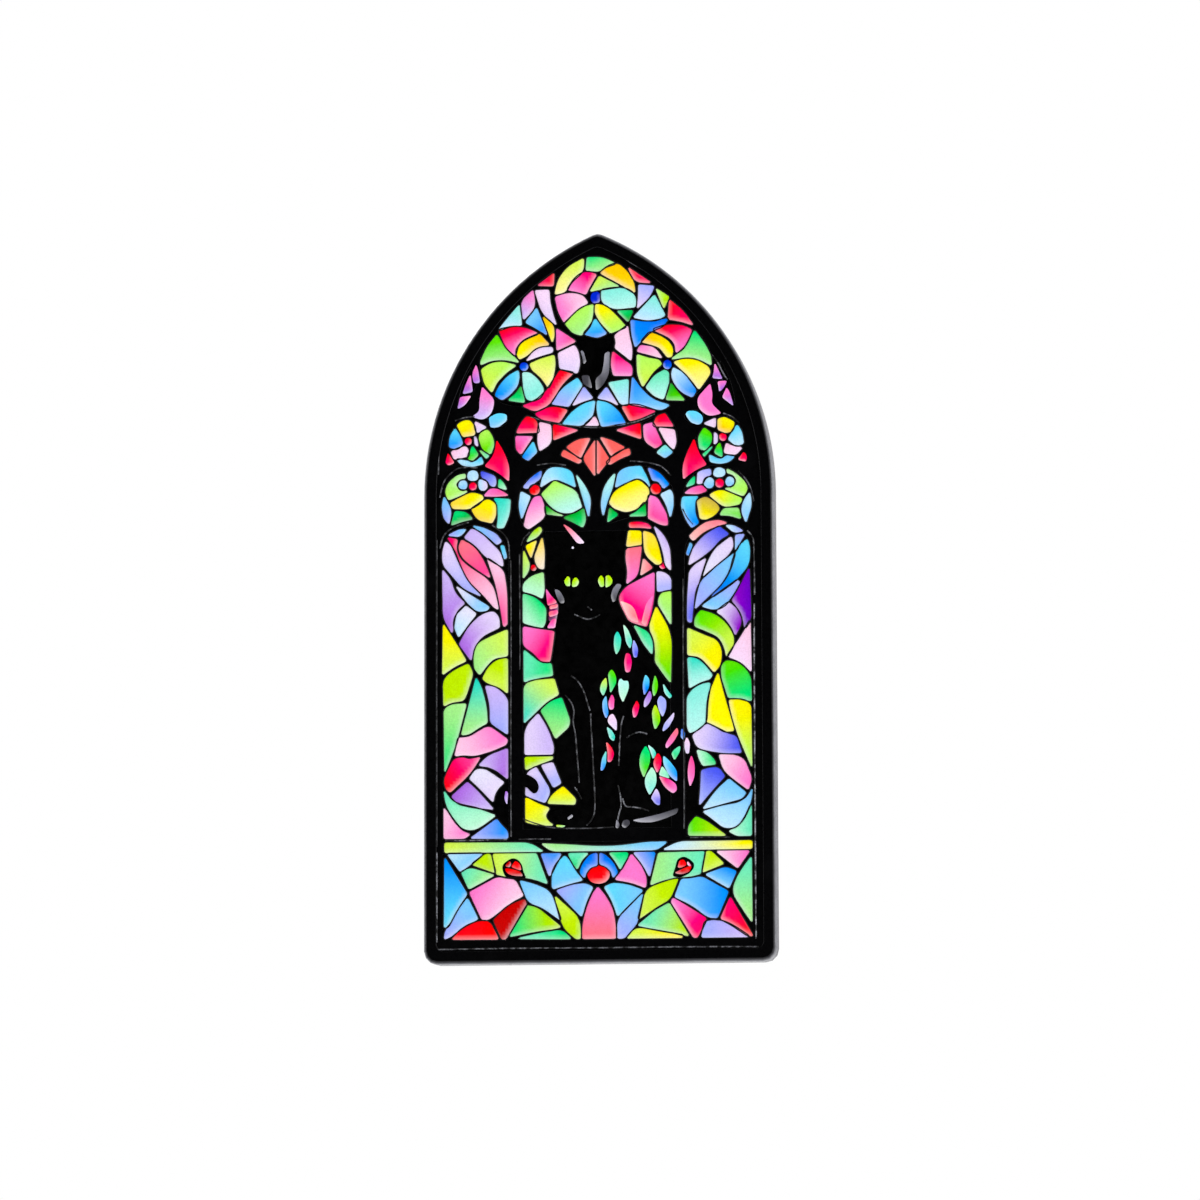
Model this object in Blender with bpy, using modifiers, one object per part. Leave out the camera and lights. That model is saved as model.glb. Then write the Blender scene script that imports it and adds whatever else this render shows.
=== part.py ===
"""Enamel pin in the shape of a Gothic window: a die-cast plate with a raised rim and tracery, enamel fills in its
pockets, and two soldered posts with butterfly clutches behind.

Metres, +Z up. The origin is the centre of the plate's back face, which lies on the cloth. The front faces -Y.
Shapes on the front are drawn in millimetres, x to the right and y up from the plate's bottom edge.
"""

import math

import bmesh
import bpy
from mathutils import Vector

MM = 0.001

# Plate
WIDTH = 24.0
HEIGHT = 50.0
SPRING_HEIGHT = 32.0
CORNER_RADIUS = 0.9
TIP_HALF_WIDTH = 0.3
PLATE_DEPTH = 2.0
EDGE_ROUND = 0.22
RIM_WIDTH = 0.85
RIM_STAND = 0.12
FLOOR_DEPTH = 1.25
ENAMEL_DROP = 0.08
SEAT_GAP = 0.03
ARC_STEP = 0.7

# Artwork: these places are on a drawing of the size given, which on_plate fits to the plate
DRAWN_SIZE = (24.0, 50.0, 32.0)
DRAWN_RIM = 0.85
ART_AXIS = -0.15
WINDOW_LEFT = -10.75
LANCET_INNER = -6.2
LIGHT_LEFT = -5.2
PANEL_BOTTOM = 1.6
PANEL_TOP = 7.45
SILL_BOTTOM = 7.6
SILL_TOP = 8.2
LANCET_BOTTOM = 8.45
LANCET_SPRING = 27.7
LIGHT_BOTTOM = 9.1
LIGHT_TOP = 29.4
ROSE_HEIGHT = 40.85
ROSE_OFFSET = 5.27
ROSE_RADIUS = 2.62
TOP_ROSE_HEIGHT = 45.45
TOP_ROSE_RADIUS = 2.78
SMALL_ROSE_OFFSET = 8.63
SMALL_ROSE_HEIGHT = 35.6
SMALL_ROSE_RADIUS = 1.55
JEWEL_HEIGHT = 5.9
JEWEL_RADII = (0.85, 0.66)

# Posts
POST_HEIGHTS = {"lower": 13.0, "upper": 35.0}
POST_LENGTH = 7.8
POST_RADIUS = 0.58
POST_PAD_RADIUS = 1.7
POST_PAD_DEPTH = 0.4
POST_FILLET = 0.15
POST_TIP = 1.3
POST_POINT_RADIUS = 0.12
GROOVE_DEPTH = 0.12
GROOVE_WIDTH = 0.5
POST_SIDES = 16

# Clutches: heights are measured along the post, from the clutch's cloth side
CLUTCH_STAND_OFF = 2.2
CLUTCH_RADIUS = 5.6
SHEET = 0.3
RIM_LIP = 1.2
BOSS_RADIUS = 2.5
BOSS_RISE = 0.45
HOLE_CLEARANCE = 0.3
CLUTCH_SIDES = 28
HEEL_OFFSET = 1.35
HEEL_RISE = 1.0
JAW_DROP = 0.62
JAW_CLEARANCE = 0.2
WING_SHEET = 0.25
JAW_HALF_WIDTH = 1.0
NECK_HALF_WIDTH = 1.75
WING_HALF_WIDTH = 3.1
TAB_GAP = 0.14
TAB_REACH = 0.75
TAB_HALF_LENGTH = 0.95
WING_SPREAD = 3.6
WING_RISE = 4.1

COLOURS = {
    "black_plate": ((0.012, 0.012, 0.016), 0.22, 0.9),
    "nickel": ((0.72, 0.71, 0.69), 0.22, 1.0),
    "black_enamel": ((0.006, 0.006, 0.008), 0.12, 0.0),
    "rose_enamel": ((0.86, 0.22, 0.45), 0.12, 0.0),
    "green_enamel": ((0.45, 0.85, 0.3), 0.12, 0.0),
    "blue_enamel": ((0.3, 0.62, 0.92), 0.12, 0.0),
    "violet_enamel": ((0.55, 0.42, 0.85), 0.12, 0.0),
    "coral_enamel": ((0.93, 0.32, 0.27), 0.12, 0.0),
    "ruby_enamel": ((0.8, 0.02, 0.08), 0.12, 0.0),
}


# ---------------------------------------------------------------- scene and materials


def clear_scene():
    for obj in list(bpy.data.objects):
        bpy.data.objects.remove(obj, do_unlink=True)


def new_collection(name, hidden=False):
    collection = bpy.data.collections.new(name)
    bpy.context.scene.collection.children.link(collection)
    collection.hide_render = hidden
    return collection


def make_material(name):
    colour, roughness, metallic = COLOURS[name]
    material = bpy.data.materials.new(name)
    material.use_nodes = True
    shader = material.node_tree.nodes["Principled BSDF"]
    shader.inputs["Base Color"].default_value = (*colour, 1)
    shader.inputs["Roughness"].default_value = roughness
    shader.inputs["Metallic"].default_value = metallic
    return material


clear_scene()
PIN = new_collection("enamel_pin")
CUTTERS = new_collection("cutters", hidden=True)
MATERIALS = {name: make_material(name) for name in COLOURS}


def add_object(name, mesh, material, parent=None, collection=PIN):
    obj = bpy.data.objects.new(name, mesh)
    collection.objects.link(obj)
    obj.parent = parent
    if material:
        mesh.materials.append(MATERIALS[material])
    if collection is CUTTERS:
        obj.hide_render = True
        obj.display_type = "WIRE"
    return obj


def add_empty(name, location, rotation):
    empty = bpy.data.objects.new(name, None)
    PIN.objects.link(empty)
    empty.location = location
    empty.rotation_euler = rotation
    return empty


def boolean(obj, cutter, operation="DIFFERENCE"):
    modifier = obj.modifiers.new(operation.lower(), "BOOLEAN")
    modifier.operation = operation
    modifier.solver = "EXACT"
    modifier.object = cutter


def apply_modifiers(obj):
    """Replaces the object's mesh, or its curve, with the mesh that its modifiers make."""
    bpy.context.view_layer.update()
    graph = bpy.context.evaluated_depsgraph_get()
    mesh = bpy.data.meshes.new_from_object(obj.evaluated_get(graph))
    obj.modifiers.clear()
    obj.data = mesh


# ---------------------------------------------------------------- outlines


def arc_points(start, middle, end):
    """Points after start, along the arc through middle to end."""
    (ax, ay), (bx, by), (cx, cy) = start, middle, end
    turn = 2 * (ax * (by - cy) + bx * (cy - ay) + cx * (ay - by))
    squares = [ax * ax + ay * ay, bx * bx + by * by, cx * cx + cy * cy]
    ux = (squares[0] * (by - cy) + squares[1] * (cy - ay) + squares[2] * (ay - by)) / turn
    uy = (squares[0] * (cx - bx) + squares[1] * (ax - cx) + squares[2] * (bx - ax)) / turn
    radius = math.hypot(ax - ux, ay - uy)
    first = math.atan2(ay - uy, ax - ux)
    last = math.atan2(cy - uy, cx - ux)
    if turn > 0:
        sweep = (last - first) % math.tau
    else:
        sweep = -((first - last) % math.tau)
    count = max(2, math.ceil(abs(sweep) * radius / ARC_STEP))
    angles = [first + sweep * step / count for step in range(1, count)]
    return [(ux + radius * math.cos(a), uy + radius * math.sin(a)) for a in angles] + [end]


def outline(*steps):
    """A closed outline. A step is a corner (x, y), or an arc (middle x, middle y, end x, end y)."""
    points = [steps[0]]
    for step in steps[1:]:
        if len(step) == 2:
            points.append(step)
        else:
            points += arc_points(points[-1], step[:2], step[2:])
    if math.dist(points[0], points[-1]) < 1e-6:
        points.pop()
    return points


def ellipse(x, y, radius_x, radius_y=None, count=None):
    radius_y = radius_y or radius_x
    count = count or max(12, round(math.tau * max(radius_x, radius_y) / ARC_STEP))
    angles = [math.tau * step / count for step in range(count)]
    return [(x + radius_x * math.cos(a), y + radius_y * math.sin(a)) for a in angles]


def mirrored(points):
    """The same outline on the other side of the artwork's centre line."""
    return [(2 * ART_AXIS - x, y) for x, y in reversed(points)]


def anticlockwise(points):
    area = sum(x0 * y1 - x1 * y0 for (x0, y0), (x1, y1) in zip(points, points[1:] + points[:1]))
    return points if area > 0 else points[::-1]


def inset(points, distance):
    """The outline moved inwards, or outwards if distance is negative, with its corners mitred."""
    points = anticlockwise(points)
    moved = []
    for before, here, after in zip(points[-1:] + points[:-1], points, points[1:] + points[:1]):
        a = (Vector(here) - Vector(before)).normalized()
        b = (Vector(after) - Vector(here)).normalized()
        inward = Vector((-a.y - b.y, a.x + b.x)).normalized()
        reach = distance / max(0.5, inward.dot(Vector((-a.y, a.x))))
        moved.append((here[0] + inward.x * reach, here[1] + inward.y * reach))
    return moved


class Arch:
    """A Gothic arch: straight sides up to the spring line, then two arcs that meet in a point."""

    def __init__(self, width, height, spring, margin):
        self.margin = margin
        self.spring = spring
        self.side = width / 2 - margin
        full_radius = ((height - spring) ** 2 + (width / 2) ** 2) / width
        self.centre = width / 2 - full_radius
        self.radius = full_radius - margin
        self.apex = spring + math.sqrt(self.radius**2 - self.centre**2)

    def half_width(self, y):
        over = max(0, y - self.spring)
        return self.centre + math.sqrt(self.radius**2 - over**2)


def plate_outline(margin):
    """The plate's outline, moved inwards by margin, with round bottom corners and a softly rounded tip."""
    arch = Arch(WIDTH, HEIGHT, SPRING_HEIGHT, margin)
    side = arch.side
    shoulder = math.atan2(arch.apex - arch.spring, -arch.centre) / 2
    tip = math.acos((TIP_HALF_WIDTH - arch.centre) / arch.radius)
    tip_y = arch.spring + arch.radius * math.sin(tip)
    tip_centre = arch.spring - arch.centre * math.tan(tip)
    tip_top = tip_centre + math.hypot(TIP_HALF_WIDTH, tip_y - tip_centre)
    bend_x = arch.centre + arch.radius * math.cos(shoulder)
    bend_y = arch.spring + arch.radius * math.sin(shoulder)
    corner = CORNER_RADIUS - min(margin, CORNER_RADIUS / 2)
    slack = corner * (1 - math.sqrt(0.5))
    return outline(
        (-side + corner, margin),
        (side - corner, margin),
        (side - slack, margin + slack, side, margin + corner),
        (side, arch.spring),
        (bend_x, bend_y, TIP_HALF_WIDTH, tip_y),
        (0, tip_top, -TIP_HALF_WIDTH, tip_y),
        (-bend_x, bend_y, -side, arch.spring),
        (-side, margin + corner),
        (-side + slack, margin + slack, -side + corner, margin),
    )


def on_plate(points):
    """Fits a drawn outline to the plate: each point keeps its share of the height, and of the width there."""
    drawn = Arch(*DRAWN_SIZE, DRAWN_RIM)
    plate = Arch(WIDTH, HEIGHT, SPRING_HEIGHT, RIM_WIDTH)
    fitted = []
    for x, y in points:
        if y < drawn.spring:
            share = (y - drawn.margin) / (drawn.spring - drawn.margin)
            height = plate.margin + share * (plate.spring - plate.margin)
        else:
            share = (y - drawn.spring) / (drawn.apex - drawn.spring)
            height = plate.spring + share * (plate.apex - plate.spring)
        fitted.append((x / drawn.half_width(y) * plate.half_width(height), height))
    return fitted


# ---------------------------------------------------------------- solids on the front


def prism(name, shapes, low, high, material=None, collection=PIN, parent=None):
    """A flat solid, or several apart, from low to high above the plate's back face."""
    curve = bpy.data.curves.new(name, "CURVE")
    curve.dimensions = "2D"
    curve.fill_mode = "BOTH"
    curve.extrude = (high - low) / 2 * MM
    for points in shapes:
        spline = curve.splines.new("POLY")
        spline.points.add(len(points) - 1)
        for target, (x, y) in zip(spline.points, points):
            target.co = (x * MM, y * MM, 0, 1)
        spline.use_cyclic_u = True
    made = add_object(name + "_curve", curve, None, None, collection)
    bpy.context.view_layer.update()
    graph = bpy.context.evaluated_depsgraph_get()
    mesh = bpy.data.meshes.new_from_object(made.evaluated_get(graph))
    bpy.data.objects.remove(made)
    welded = bmesh.new()
    welded.from_mesh(mesh)
    bmesh.ops.remove_doubles(welded, verts=welded.verts, dist=1e-7)
    bmesh.ops.translate(welded, verts=welded.verts, vec=(0, 0, (low + high) / 2 * MM))
    bmesh.ops.recalc_face_normals(welded, faces=welded.faces)
    welded.to_mesh(mesh)
    welded.free()
    return add_object(name, mesh, material, parent, collection)


def rounded_plate(name, material, parent):
    """The blank: its outline steps in towards both faces, as a rounded edge."""
    steps = 3
    low = [(EDGE_ROUND / 2 * (1 - math.sin(a)), EDGE_ROUND / 2 * (1 - math.cos(a))) for a in quarter(2)]
    high = [
        (EDGE_ROUND * (1 - math.cos(a)), PLATE_DEPTH - EDGE_ROUND * (1 - math.sin(a)))
        for a in quarter(steps)
    ]
    mesh = bmesh.new()
    rings = []
    for margin, height in low + high:
        points = inset(plate_outline(0), margin)
        rings.append([mesh.verts.new((x * MM, y * MM, height * MM)) for x, y in points])
    for below, above in zip(rings, rings[1:]):
        for a, b, c, d in zip(below, below[1:] + below[:1], above[1:] + above[:1], above):
            mesh.faces.new((a, b, c, d))
    mesh.faces.new(rings[0][::-1])
    mesh.faces.new(rings[-1])
    plate = bpy.data.meshes.new(name)
    mesh.to_mesh(plate)
    mesh.free()
    return add_object(name, plate, material, parent)


def quarter(steps):
    return [math.pi / 2 * step / steps for step in range(steps + 1)]


# ---------------------------------------------------------------- the window's shapes


def window_openings():
    """Pockets between the plate's tracery, by name."""
    right = 2 * ART_AXIS - WINDOW_LEFT
    light_right = 2 * ART_AXIS - LIGHT_LEFT
    lancet_axis = (WINDOW_LEFT + LANCET_INNER) / 2
    lancet_top = LANCET_SPRING + (LANCET_INNER - WINDOW_LEFT) / 2
    left = {
        "lancet": outline(
            (WINDOW_LEFT, LANCET_BOTTOM),
            (LANCET_INNER, LANCET_BOTTOM),
            (LANCET_INNER, LANCET_SPRING),
            (lancet_axis, lancet_top, WINDOW_LEFT, LANCET_SPRING),
        ),
        "foil": outline((-10.2, 30.05), (-8.45, 30.4, -6.85, 29.75), (-8.5, 33.75, -10.2, 30.05)),
        "small_rose": ellipse(ART_AXIS - SMALL_ROSE_OFFSET, SMALL_ROSE_HEIGHT, SMALL_ROSE_RADIUS),
        "red_spandrel": outline(
            (-7.0, 35.7), (-7.15, 34.75, -7.75, 34.05), (-6.9, 33.75, -6.1, 33.0), (-6.35, 34.6, -7.0, 35.7)
        ),
        "bud": ellipse(-6.9, 37.15, 0.68, 0.46),
        "petal": outline(
            (-8.0, 39.3), (-8.05, 37.95, -8.65, 37.4), (-7.9, 37.4), (-7.3, 37.85), (-7.5, 38.6, -8.0, 39.3)
        ),
        "shards": outline((-8.75, 40.9), (-9.4, 39.5, -9.72, 38.0), (-8.75, 38.85), (-8.35, 39.7)),
        "arch_spandrel": outline(
            (-4.45, 37.35),
            (-5.5, 36.7, -5.75, 35.5),
            (-5.55, 34.85),
            (-4.8, 34.35),
            (-3.4, 35.6, -1.5, 36.35),
            (-3.2, 36.75, -4.45, 37.35),
        ),
        "lunette": outline(
            (-5.1, 29.8), (-3.6, 30.3), (-2.3, 30.25), (-0.95, 29.85), (-3.0, 33.85, -5.1, 29.8)
        ),
    }
    openings = {}
    for name, points in left.items():
        openings["left_" + name] = points
        openings["right_" + name] = mirrored(points)
    openings["tympanum"] = outline(
        (-5.3, 38.1),
        (ART_AXIS, 36.6, 5.0, 38.1),
        (7.88, ROSE_HEIGHT, 6.75, 43.04),
        (4.75, 45.35, 2.2, 47.2),
        (ART_AXIS, 48.38, -2.5, 47.2),
        (-5.05, 45.35, -7.05, 43.04),
        (-8.18, ROSE_HEIGHT, -5.3, 38.1),
    )
    openings["fan"] = outline(
        (-2.55, 34.7), (-1.1, 34.2, ART_AXIS, 33.25), (0.8, 34.2, 2.25, 34.7), (ART_AXIS, 35.75, -2.55, 34.7)
    )
    openings["centre_light"] = outline(
        (LIGHT_LEFT, LIGHT_BOTTOM),
        (light_right, LIGHT_BOTTOM),
        (light_right, LIGHT_TOP - 1.1),
        (light_right - 0.35, LIGHT_TOP - 0.3, light_right - 1.0, LIGHT_TOP),
        (LIGHT_LEFT + 1.0, LIGHT_TOP),
        (LIGHT_LEFT + 0.35, LIGHT_TOP - 0.3, LIGHT_LEFT, LIGHT_TOP - 1.1),
    )
    openings["sill"] = [
        (WINDOW_LEFT, SILL_BOTTOM),
        (right, SILL_BOTTOM),
        (right, SILL_TOP),
        (WINDOW_LEFT, SILL_TOP),
    ]
    openings["base_panel"] = [
        (WINDOW_LEFT, PANEL_BOTTOM),
        (right, PANEL_BOTTOM),
        (right, PANEL_TOP),
        (WINDOW_LEFT, PANEL_TOP),
    ]
    return openings


def keyhole_outline():
    """The black figure that hangs under the top rose."""
    half = [(1.2, 42.6), (0.85, 41.8), (0.95, 41.0), (1.05, 40.1), (0.0, 38.5)]
    left = [(ART_AXIS - x, y) for x, y in half]
    return left + mirrored(left)[1:]


def cat_left_side():
    """The seated cat's left edge, from its ear down to its paw."""
    return [
        (-3.7, LIGHT_TOP),
        (-3.7, 25.3),
        (-3.0, 24.2),
        (-3.0, 21.4),
        (-3.3, 20.1),
        (-2.75, 18.3),
        (-1.95, 16.3),
        (-2.95, 15.1),
        (-3.0, 13.2),
        (-2.4, 12.0),
        (-1.6, 10.9),
        (-3.8, 10.1),
        (-3.2, LIGHT_BOTTOM),
    ]


def cat_right_side():
    """The cat's right edge, from its ear down its back to the mullion."""
    light_right = 2 * ART_AXIS - LIGHT_LEFT
    return [(1.95, LIGHT_TOP), (1.9, 26.3), (1.35, 24.6), (2.3, 22.9), (3.7, 20.5), (light_right, 18.5)]


# ---------------------------------------------------------------- enamel


def enamel(name, points, material, parent):
    """One fill: its pocket's outline less the seat gap, from just over the floor to just below the tracery."""
    top = PLATE_DEPTH - RIM_STAND - ENAMEL_DROP
    shape = inset(on_plate(points), SEAT_GAP)
    return prism(name, [shape], FLOOR_DEPTH + SEAT_GAP, top, material, parent=parent)


def cut_from(obj, name, points):
    """Leaves a hole in a fill for the fill named, with the seat gap on that side too."""
    cutter = prism(name + "_cutter", [inset(on_plate(points), -SEAT_GAP)], 0, PLATE_DEPTH, collection=CUTTERS)
    cutter.parent = obj.parent
    boolean(obj, cutter)


def make_enamels(parent):
    openings = window_openings()
    fills = {
        "lancet": ("violet_enamel", "violet_enamel"),
        "foil": ("green_enamel", "green_enamel"),
        "small_rose": ("green_enamel", "green_enamel"),
        "red_spandrel": ("ruby_enamel", "ruby_enamel"),
        "bud": ("blue_enamel", "blue_enamel"),
        "petal": ("rose_enamel", "rose_enamel"),
        "shards": ("rose_enamel", "rose_enamel"),
        "arch_spandrel": ("rose_enamel", "rose_enamel"),
        "lunette": ("green_enamel", "green_enamel"),
    }
    for name, (left, right) in fills.items():
        enamel(f"left_{name}_enamel", openings[f"left_{name}"], left, parent)
        enamel(f"right_{name}_enamel", openings[f"right_{name}"], right, parent)
    enamel("fan_enamel", openings["fan"], "coral_enamel", parent)
    enamel("sill_enamel", openings["sill"], "green_enamel", parent)
    make_base_panel(openings["base_panel"], parent)
    make_tympanum(openings["tympanum"], parent)
    make_centre_light(parent)


def make_base_panel(points, parent):
    jewel = ellipse(ART_AXIS, JEWEL_HEIGHT, *JEWEL_RADII)
    panel = enamel("base_panel_enamel", points, "blue_enamel", parent)
    cut_from(panel, "base_jewel", jewel)
    enamel("base_jewel_enamel", jewel, "ruby_enamel", parent)


def make_tympanum(points, parent):
    """Three roses and the keyhole figure, set in one ground piece that runs round them."""
    ground = enamel("tympanum_ground_enamel", points, "rose_enamel", parent)
    left_rose = ellipse(ART_AXIS - ROSE_OFFSET, ROSE_HEIGHT, ROSE_RADIUS)
    pieces = {
        "top_rose": (ellipse(ART_AXIS, TOP_ROSE_HEIGHT, TOP_ROSE_RADIUS), "green_enamel"),
        "left_rose": (left_rose, "green_enamel"),
        "right_rose": (mirrored(left_rose), "green_enamel"),
        "keyhole": (keyhole_outline(), "black_enamel"),
    }
    for name, (shape, material) in pieces.items():
        enamel(name + "_enamel", shape, material, parent)
        cut_from(ground, name, shape)


def make_centre_light(parent):
    """Background glass on each side of the black cat."""
    left, right = cat_left_side(), cat_right_side()
    right_edge = 2 * ART_AXIS - LIGHT_LEFT
    cat = left + [(right_edge, LIGHT_BOTTOM)] + right[::-1]
    enamel("cat_enamel", cat, "black_enamel", parent)
    shoulder = (LIGHT_LEFT + 0.35, LIGHT_TOP - 0.3, LIGHT_LEFT, LIGHT_TOP - 1.1)
    left_glass = outline(*left[::-1], (LIGHT_LEFT + 1.0, LIGHT_TOP), shoulder, (LIGHT_LEFT, LIGHT_BOTTOM))
    enamel("centre_left_enamel", left_glass, "green_enamel", parent)
    shoulder = (right_edge - 0.35, LIGHT_TOP - 0.3, right_edge - 1.0, LIGHT_TOP)
    right_glass = outline(*right, (right_edge, LIGHT_TOP - 1.1), shoulder)
    enamel("centre_right_enamel", right_glass, "rose_enamel", parent)


# ---------------------------------------------------------------- plate


def make_plate(parent):
    plate = rounded_plate("cast_plate", "black_plate", parent)
    top = PLATE_DEPTH - RIM_STAND
    over = PLATE_DEPTH + 1
    field = prism("field_cutter", [plate_outline(RIM_WIDTH)], top, over, collection=CUTTERS)
    openings = [on_plate(points) for points in window_openings().values()]
    pockets = prism("pocket_cutter", openings, FLOOR_DEPTH, over, collection=CUTTERS)
    sockets = prism("socket_cutter", post_sockets(), -1, POST_PAD_DEPTH + SEAT_GAP, collection=CUTTERS)
    for cutter in (field, pockets, sockets):
        cutter.parent = parent
        boolean(plate, cutter)


def post_sockets():
    """Round seats in the back that the posts' pads are soldered into."""
    radius = POST_PAD_RADIUS + SEAT_GAP
    return [ellipse(0, height, radius, count=POST_SIDES) for height in POST_HEIGHTS.values()]


# ---------------------------------------------------------------- posts and clutches


def turned(name, profile, sides, material, parent):
    """A solid turned about z. The profile runs (radius, height) down its outer side, top to bottom."""
    mesh = bpy.data.meshes.new(name)
    points = [(radius * MM, 0, height * MM) for radius, height in profile]
    edges = [(i, i + 1) for i in range(len(points) - 1)]
    if profile[0][0] > 0:
        edges.append((len(points) - 1, 0))
    mesh.from_pydata(points, edges, [])
    obj = add_object(name, mesh, material, parent)
    screw = obj.modifiers.new("turn", "SCREW")
    screw.steps = sides
    screw.render_steps = sides
    screw.use_merge_vertices = True
    screw.merge_threshold = 1e-6
    return obj


def make_post(place, parent):
    """A nail: its pad lies flush in the plate's back, and it has a groove for the clutch's jaws and a sharp end."""
    shoulder = POST_LENGTH - POST_TIP
    waist = POST_RADIUS - GROOVE_DEPTH
    profile = [
        (0, POST_LENGTH),
        (POST_POINT_RADIUS, POST_LENGTH - POST_POINT_RADIUS),
        (POST_RADIUS, shoulder),
        (POST_RADIUS, shoulder - 0.4),
        (waist, shoulder - 0.4 - GROOVE_DEPTH),
        (waist, shoulder - 0.4 - GROOVE_WIDTH),
        (POST_RADIUS, shoulder - 0.4 - GROOVE_WIDTH - GROOVE_DEPTH),
        (POST_RADIUS, POST_FILLET),
        (POST_RADIUS + POST_FILLET, 0),
        (POST_PAD_RADIUS, 0),
        (POST_PAD_RADIUS, -POST_PAD_DEPTH),
        (0, -POST_PAD_DEPTH),
    ]
    turned(f"{place}_post", profile, POST_SIDES, "nickel", parent)


def boss_top():
    return SHEET + BOSS_RISE


def heel_height():
    """The height of the fold that each wing turns on, at the middle of its sheet."""
    return boss_top() + HEEL_RISE


def make_cup(place, parent):
    """The clutch's stamped base: a tray with a curled rim, a raised boss and two tabs folded over the wings."""
    hole = POST_RADIUS + HOLE_CLEARANCE
    slope = 0.45
    profile = [
        (hole, boss_top()),
        (BOSS_RADIUS, boss_top()),
        (BOSS_RADIUS + slope, SHEET),
        (CLUTCH_RADIUS - 0.75, SHEET),
        (CLUTCH_RADIUS - 0.55, RIM_LIP - 0.15),
        (CLUTCH_RADIUS - 0.3, RIM_LIP),
        (CLUTCH_RADIUS - 0.05, RIM_LIP - 0.2),
        (CLUTCH_RADIUS, RIM_LIP - 0.55),
        (CLUTCH_RADIUS - 0.2, 0.12),
        (CLUTCH_RADIUS - 0.5, 0),
        (BOSS_RADIUS + slope - 0.2, 0),
        (BOSS_RADIUS - 0.2, BOSS_RISE),
        (hole, BOSS_RISE),
    ]
    cup = turned(f"{place}_clutch_cup", profile, CLUTCH_SIDES, "nickel", parent)
    for side in (1, -1):
        boolean(cup, tab(f"{place}_tab_{side}", side, parent), "UNION")


def tab(name, side, parent):
    """A folded tab, as a hooked outline that is extruded along x."""
    under = heel_height() + WING_SHEET / 2 + TAB_GAP
    over = under + SHEET * 0.8
    leg = NECK_HALF_WIDTH + TAB_GAP
    back = leg + SHEET * 0.8
    root = boss_top() - SHEET / 2
    tip = leg - TAB_REACH
    hook = [(leg, root), (back, root), (back, over), (tip, over), (tip, under), (leg, under)]
    mesh = bmesh.new()
    ends = [
        [mesh.verts.new((x * MM, side * y * MM, z * MM)) for y, z in hook]
        for x in (-TAB_HALF_LENGTH, TAB_HALF_LENGTH)
    ]
    mesh.faces.new(ends[0])
    mesh.faces.new(ends[1])
    for a, b, c, d in zip(ends[0], ends[0][1:] + ends[0][:1], ends[1][1:] + ends[1][:1], ends[1]):
        mesh.faces.new((a, b, c, d))
    bmesh.ops.recalc_face_normals(mesh, faces=mesh.faces)
    folded = bpy.data.meshes.new(name)
    mesh.to_mesh(folded)
    mesh.free()
    return add_object(name, folded, None, parent, CUTTERS)


def make_wing(place, side_name, side, parent):
    """A spring wing: a jaw by the post, the heel it turns on, and a blade that flares out to a round end."""
    heel = heel_height()
    jaw = POST_RADIUS + JAW_CLEARANCE
    stations = [
        (jaw, heel - JAW_DROP, JAW_HALF_WIDTH),
        ((jaw + HEEL_OFFSET) / 2, heel - JAW_DROP * 0.6, NECK_HALF_WIDTH),
        (HEEL_OFFSET, heel, NECK_HALF_WIDTH),
        (HEEL_OFFSET + 0.35, heel + 0.3, NECK_HALF_WIDTH - 0.1),
        (HEEL_OFFSET + WING_SPREAD * 0.35, heel + WING_RISE * 0.35, NECK_HALF_WIDTH + 0.35),
        (HEEL_OFFSET + WING_SPREAD * 0.62, heel + WING_RISE * 0.66, WING_HALF_WIDTH * 0.93),
        (HEEL_OFFSET + WING_SPREAD * 0.8, heel + WING_RISE * 0.87, WING_HALF_WIDTH),
        (HEEL_OFFSET + WING_SPREAD * 0.93, heel + WING_RISE * 0.97, WING_HALF_WIDTH * 0.82),
        (HEEL_OFFSET + WING_SPREAD, heel + WING_RISE, WING_HALF_WIDTH * 0.5),
    ]
    across = [-1, -0.5, 0, 0.5, 1]
    mesh = bmesh.new()
    rows = [
        [mesh.verts.new((side * (x - HEEL_OFFSET) * MM, w * half * MM, (z - heel) * MM)) for w in across]
        for x, z, half in stations
    ]
    for near, far in zip(rows, rows[1:]):
        for a, b, c, d in zip(near, near[1:], far[1:], far):
            mesh.faces.new((a, b, c, d))
    sheet = bpy.data.meshes.new(f"{place}_clutch_{side_name}_wing")
    mesh.to_mesh(sheet)
    mesh.free()
    wing = add_object(f"{place}_clutch_{side_name}_wing", sheet, "nickel", parent)
    wing.location = (side * HEEL_OFFSET * MM, 0, heel * MM)
    solidify = wing.modifiers.new("sheet", "SOLIDIFY")
    solidify.thickness = WING_SHEET * MM
    solidify.offset = 0
    solidify.use_even_offset = True


def make_fastener(place, height):
    """One post with its clutch, on an axis that points out of the plate's back."""
    turn = (-math.pi / 2, 0, 0)
    z = (height - HEIGHT / 2) * MM
    post_axis = add_empty(f"{place}_post_axis", (0, 0, z), turn)
    clutch_axis = add_empty(f"{place}_clutch_axis", (0, CLUTCH_STAND_OFF * MM, z), turn)
    make_post(place, post_axis)
    make_cup(place, clutch_axis)
    make_wing(place, "left", -1, clutch_axis)
    make_wing(place, "right", 1, clutch_axis)


def main():
    front = add_empty("front_axes", (0, 0, -HEIGHT / 2 * MM), (math.pi / 2, 0, 0))
    make_plate(front)
    make_enamels(front)
    for place, height in POST_HEIGHTS.items():
        make_fastener(place, height)


main()
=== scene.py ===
"""Gothic window enamel pin, built as a Blender add-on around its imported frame.

Art is drawn in millimetres on the plate's front: x to the right, y up from the bottom edge, depth out of the back face.
"""

import math

import bmesh
import bpy
import numpy as np
from mathutils import Matrix, Vector, geometry


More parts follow.
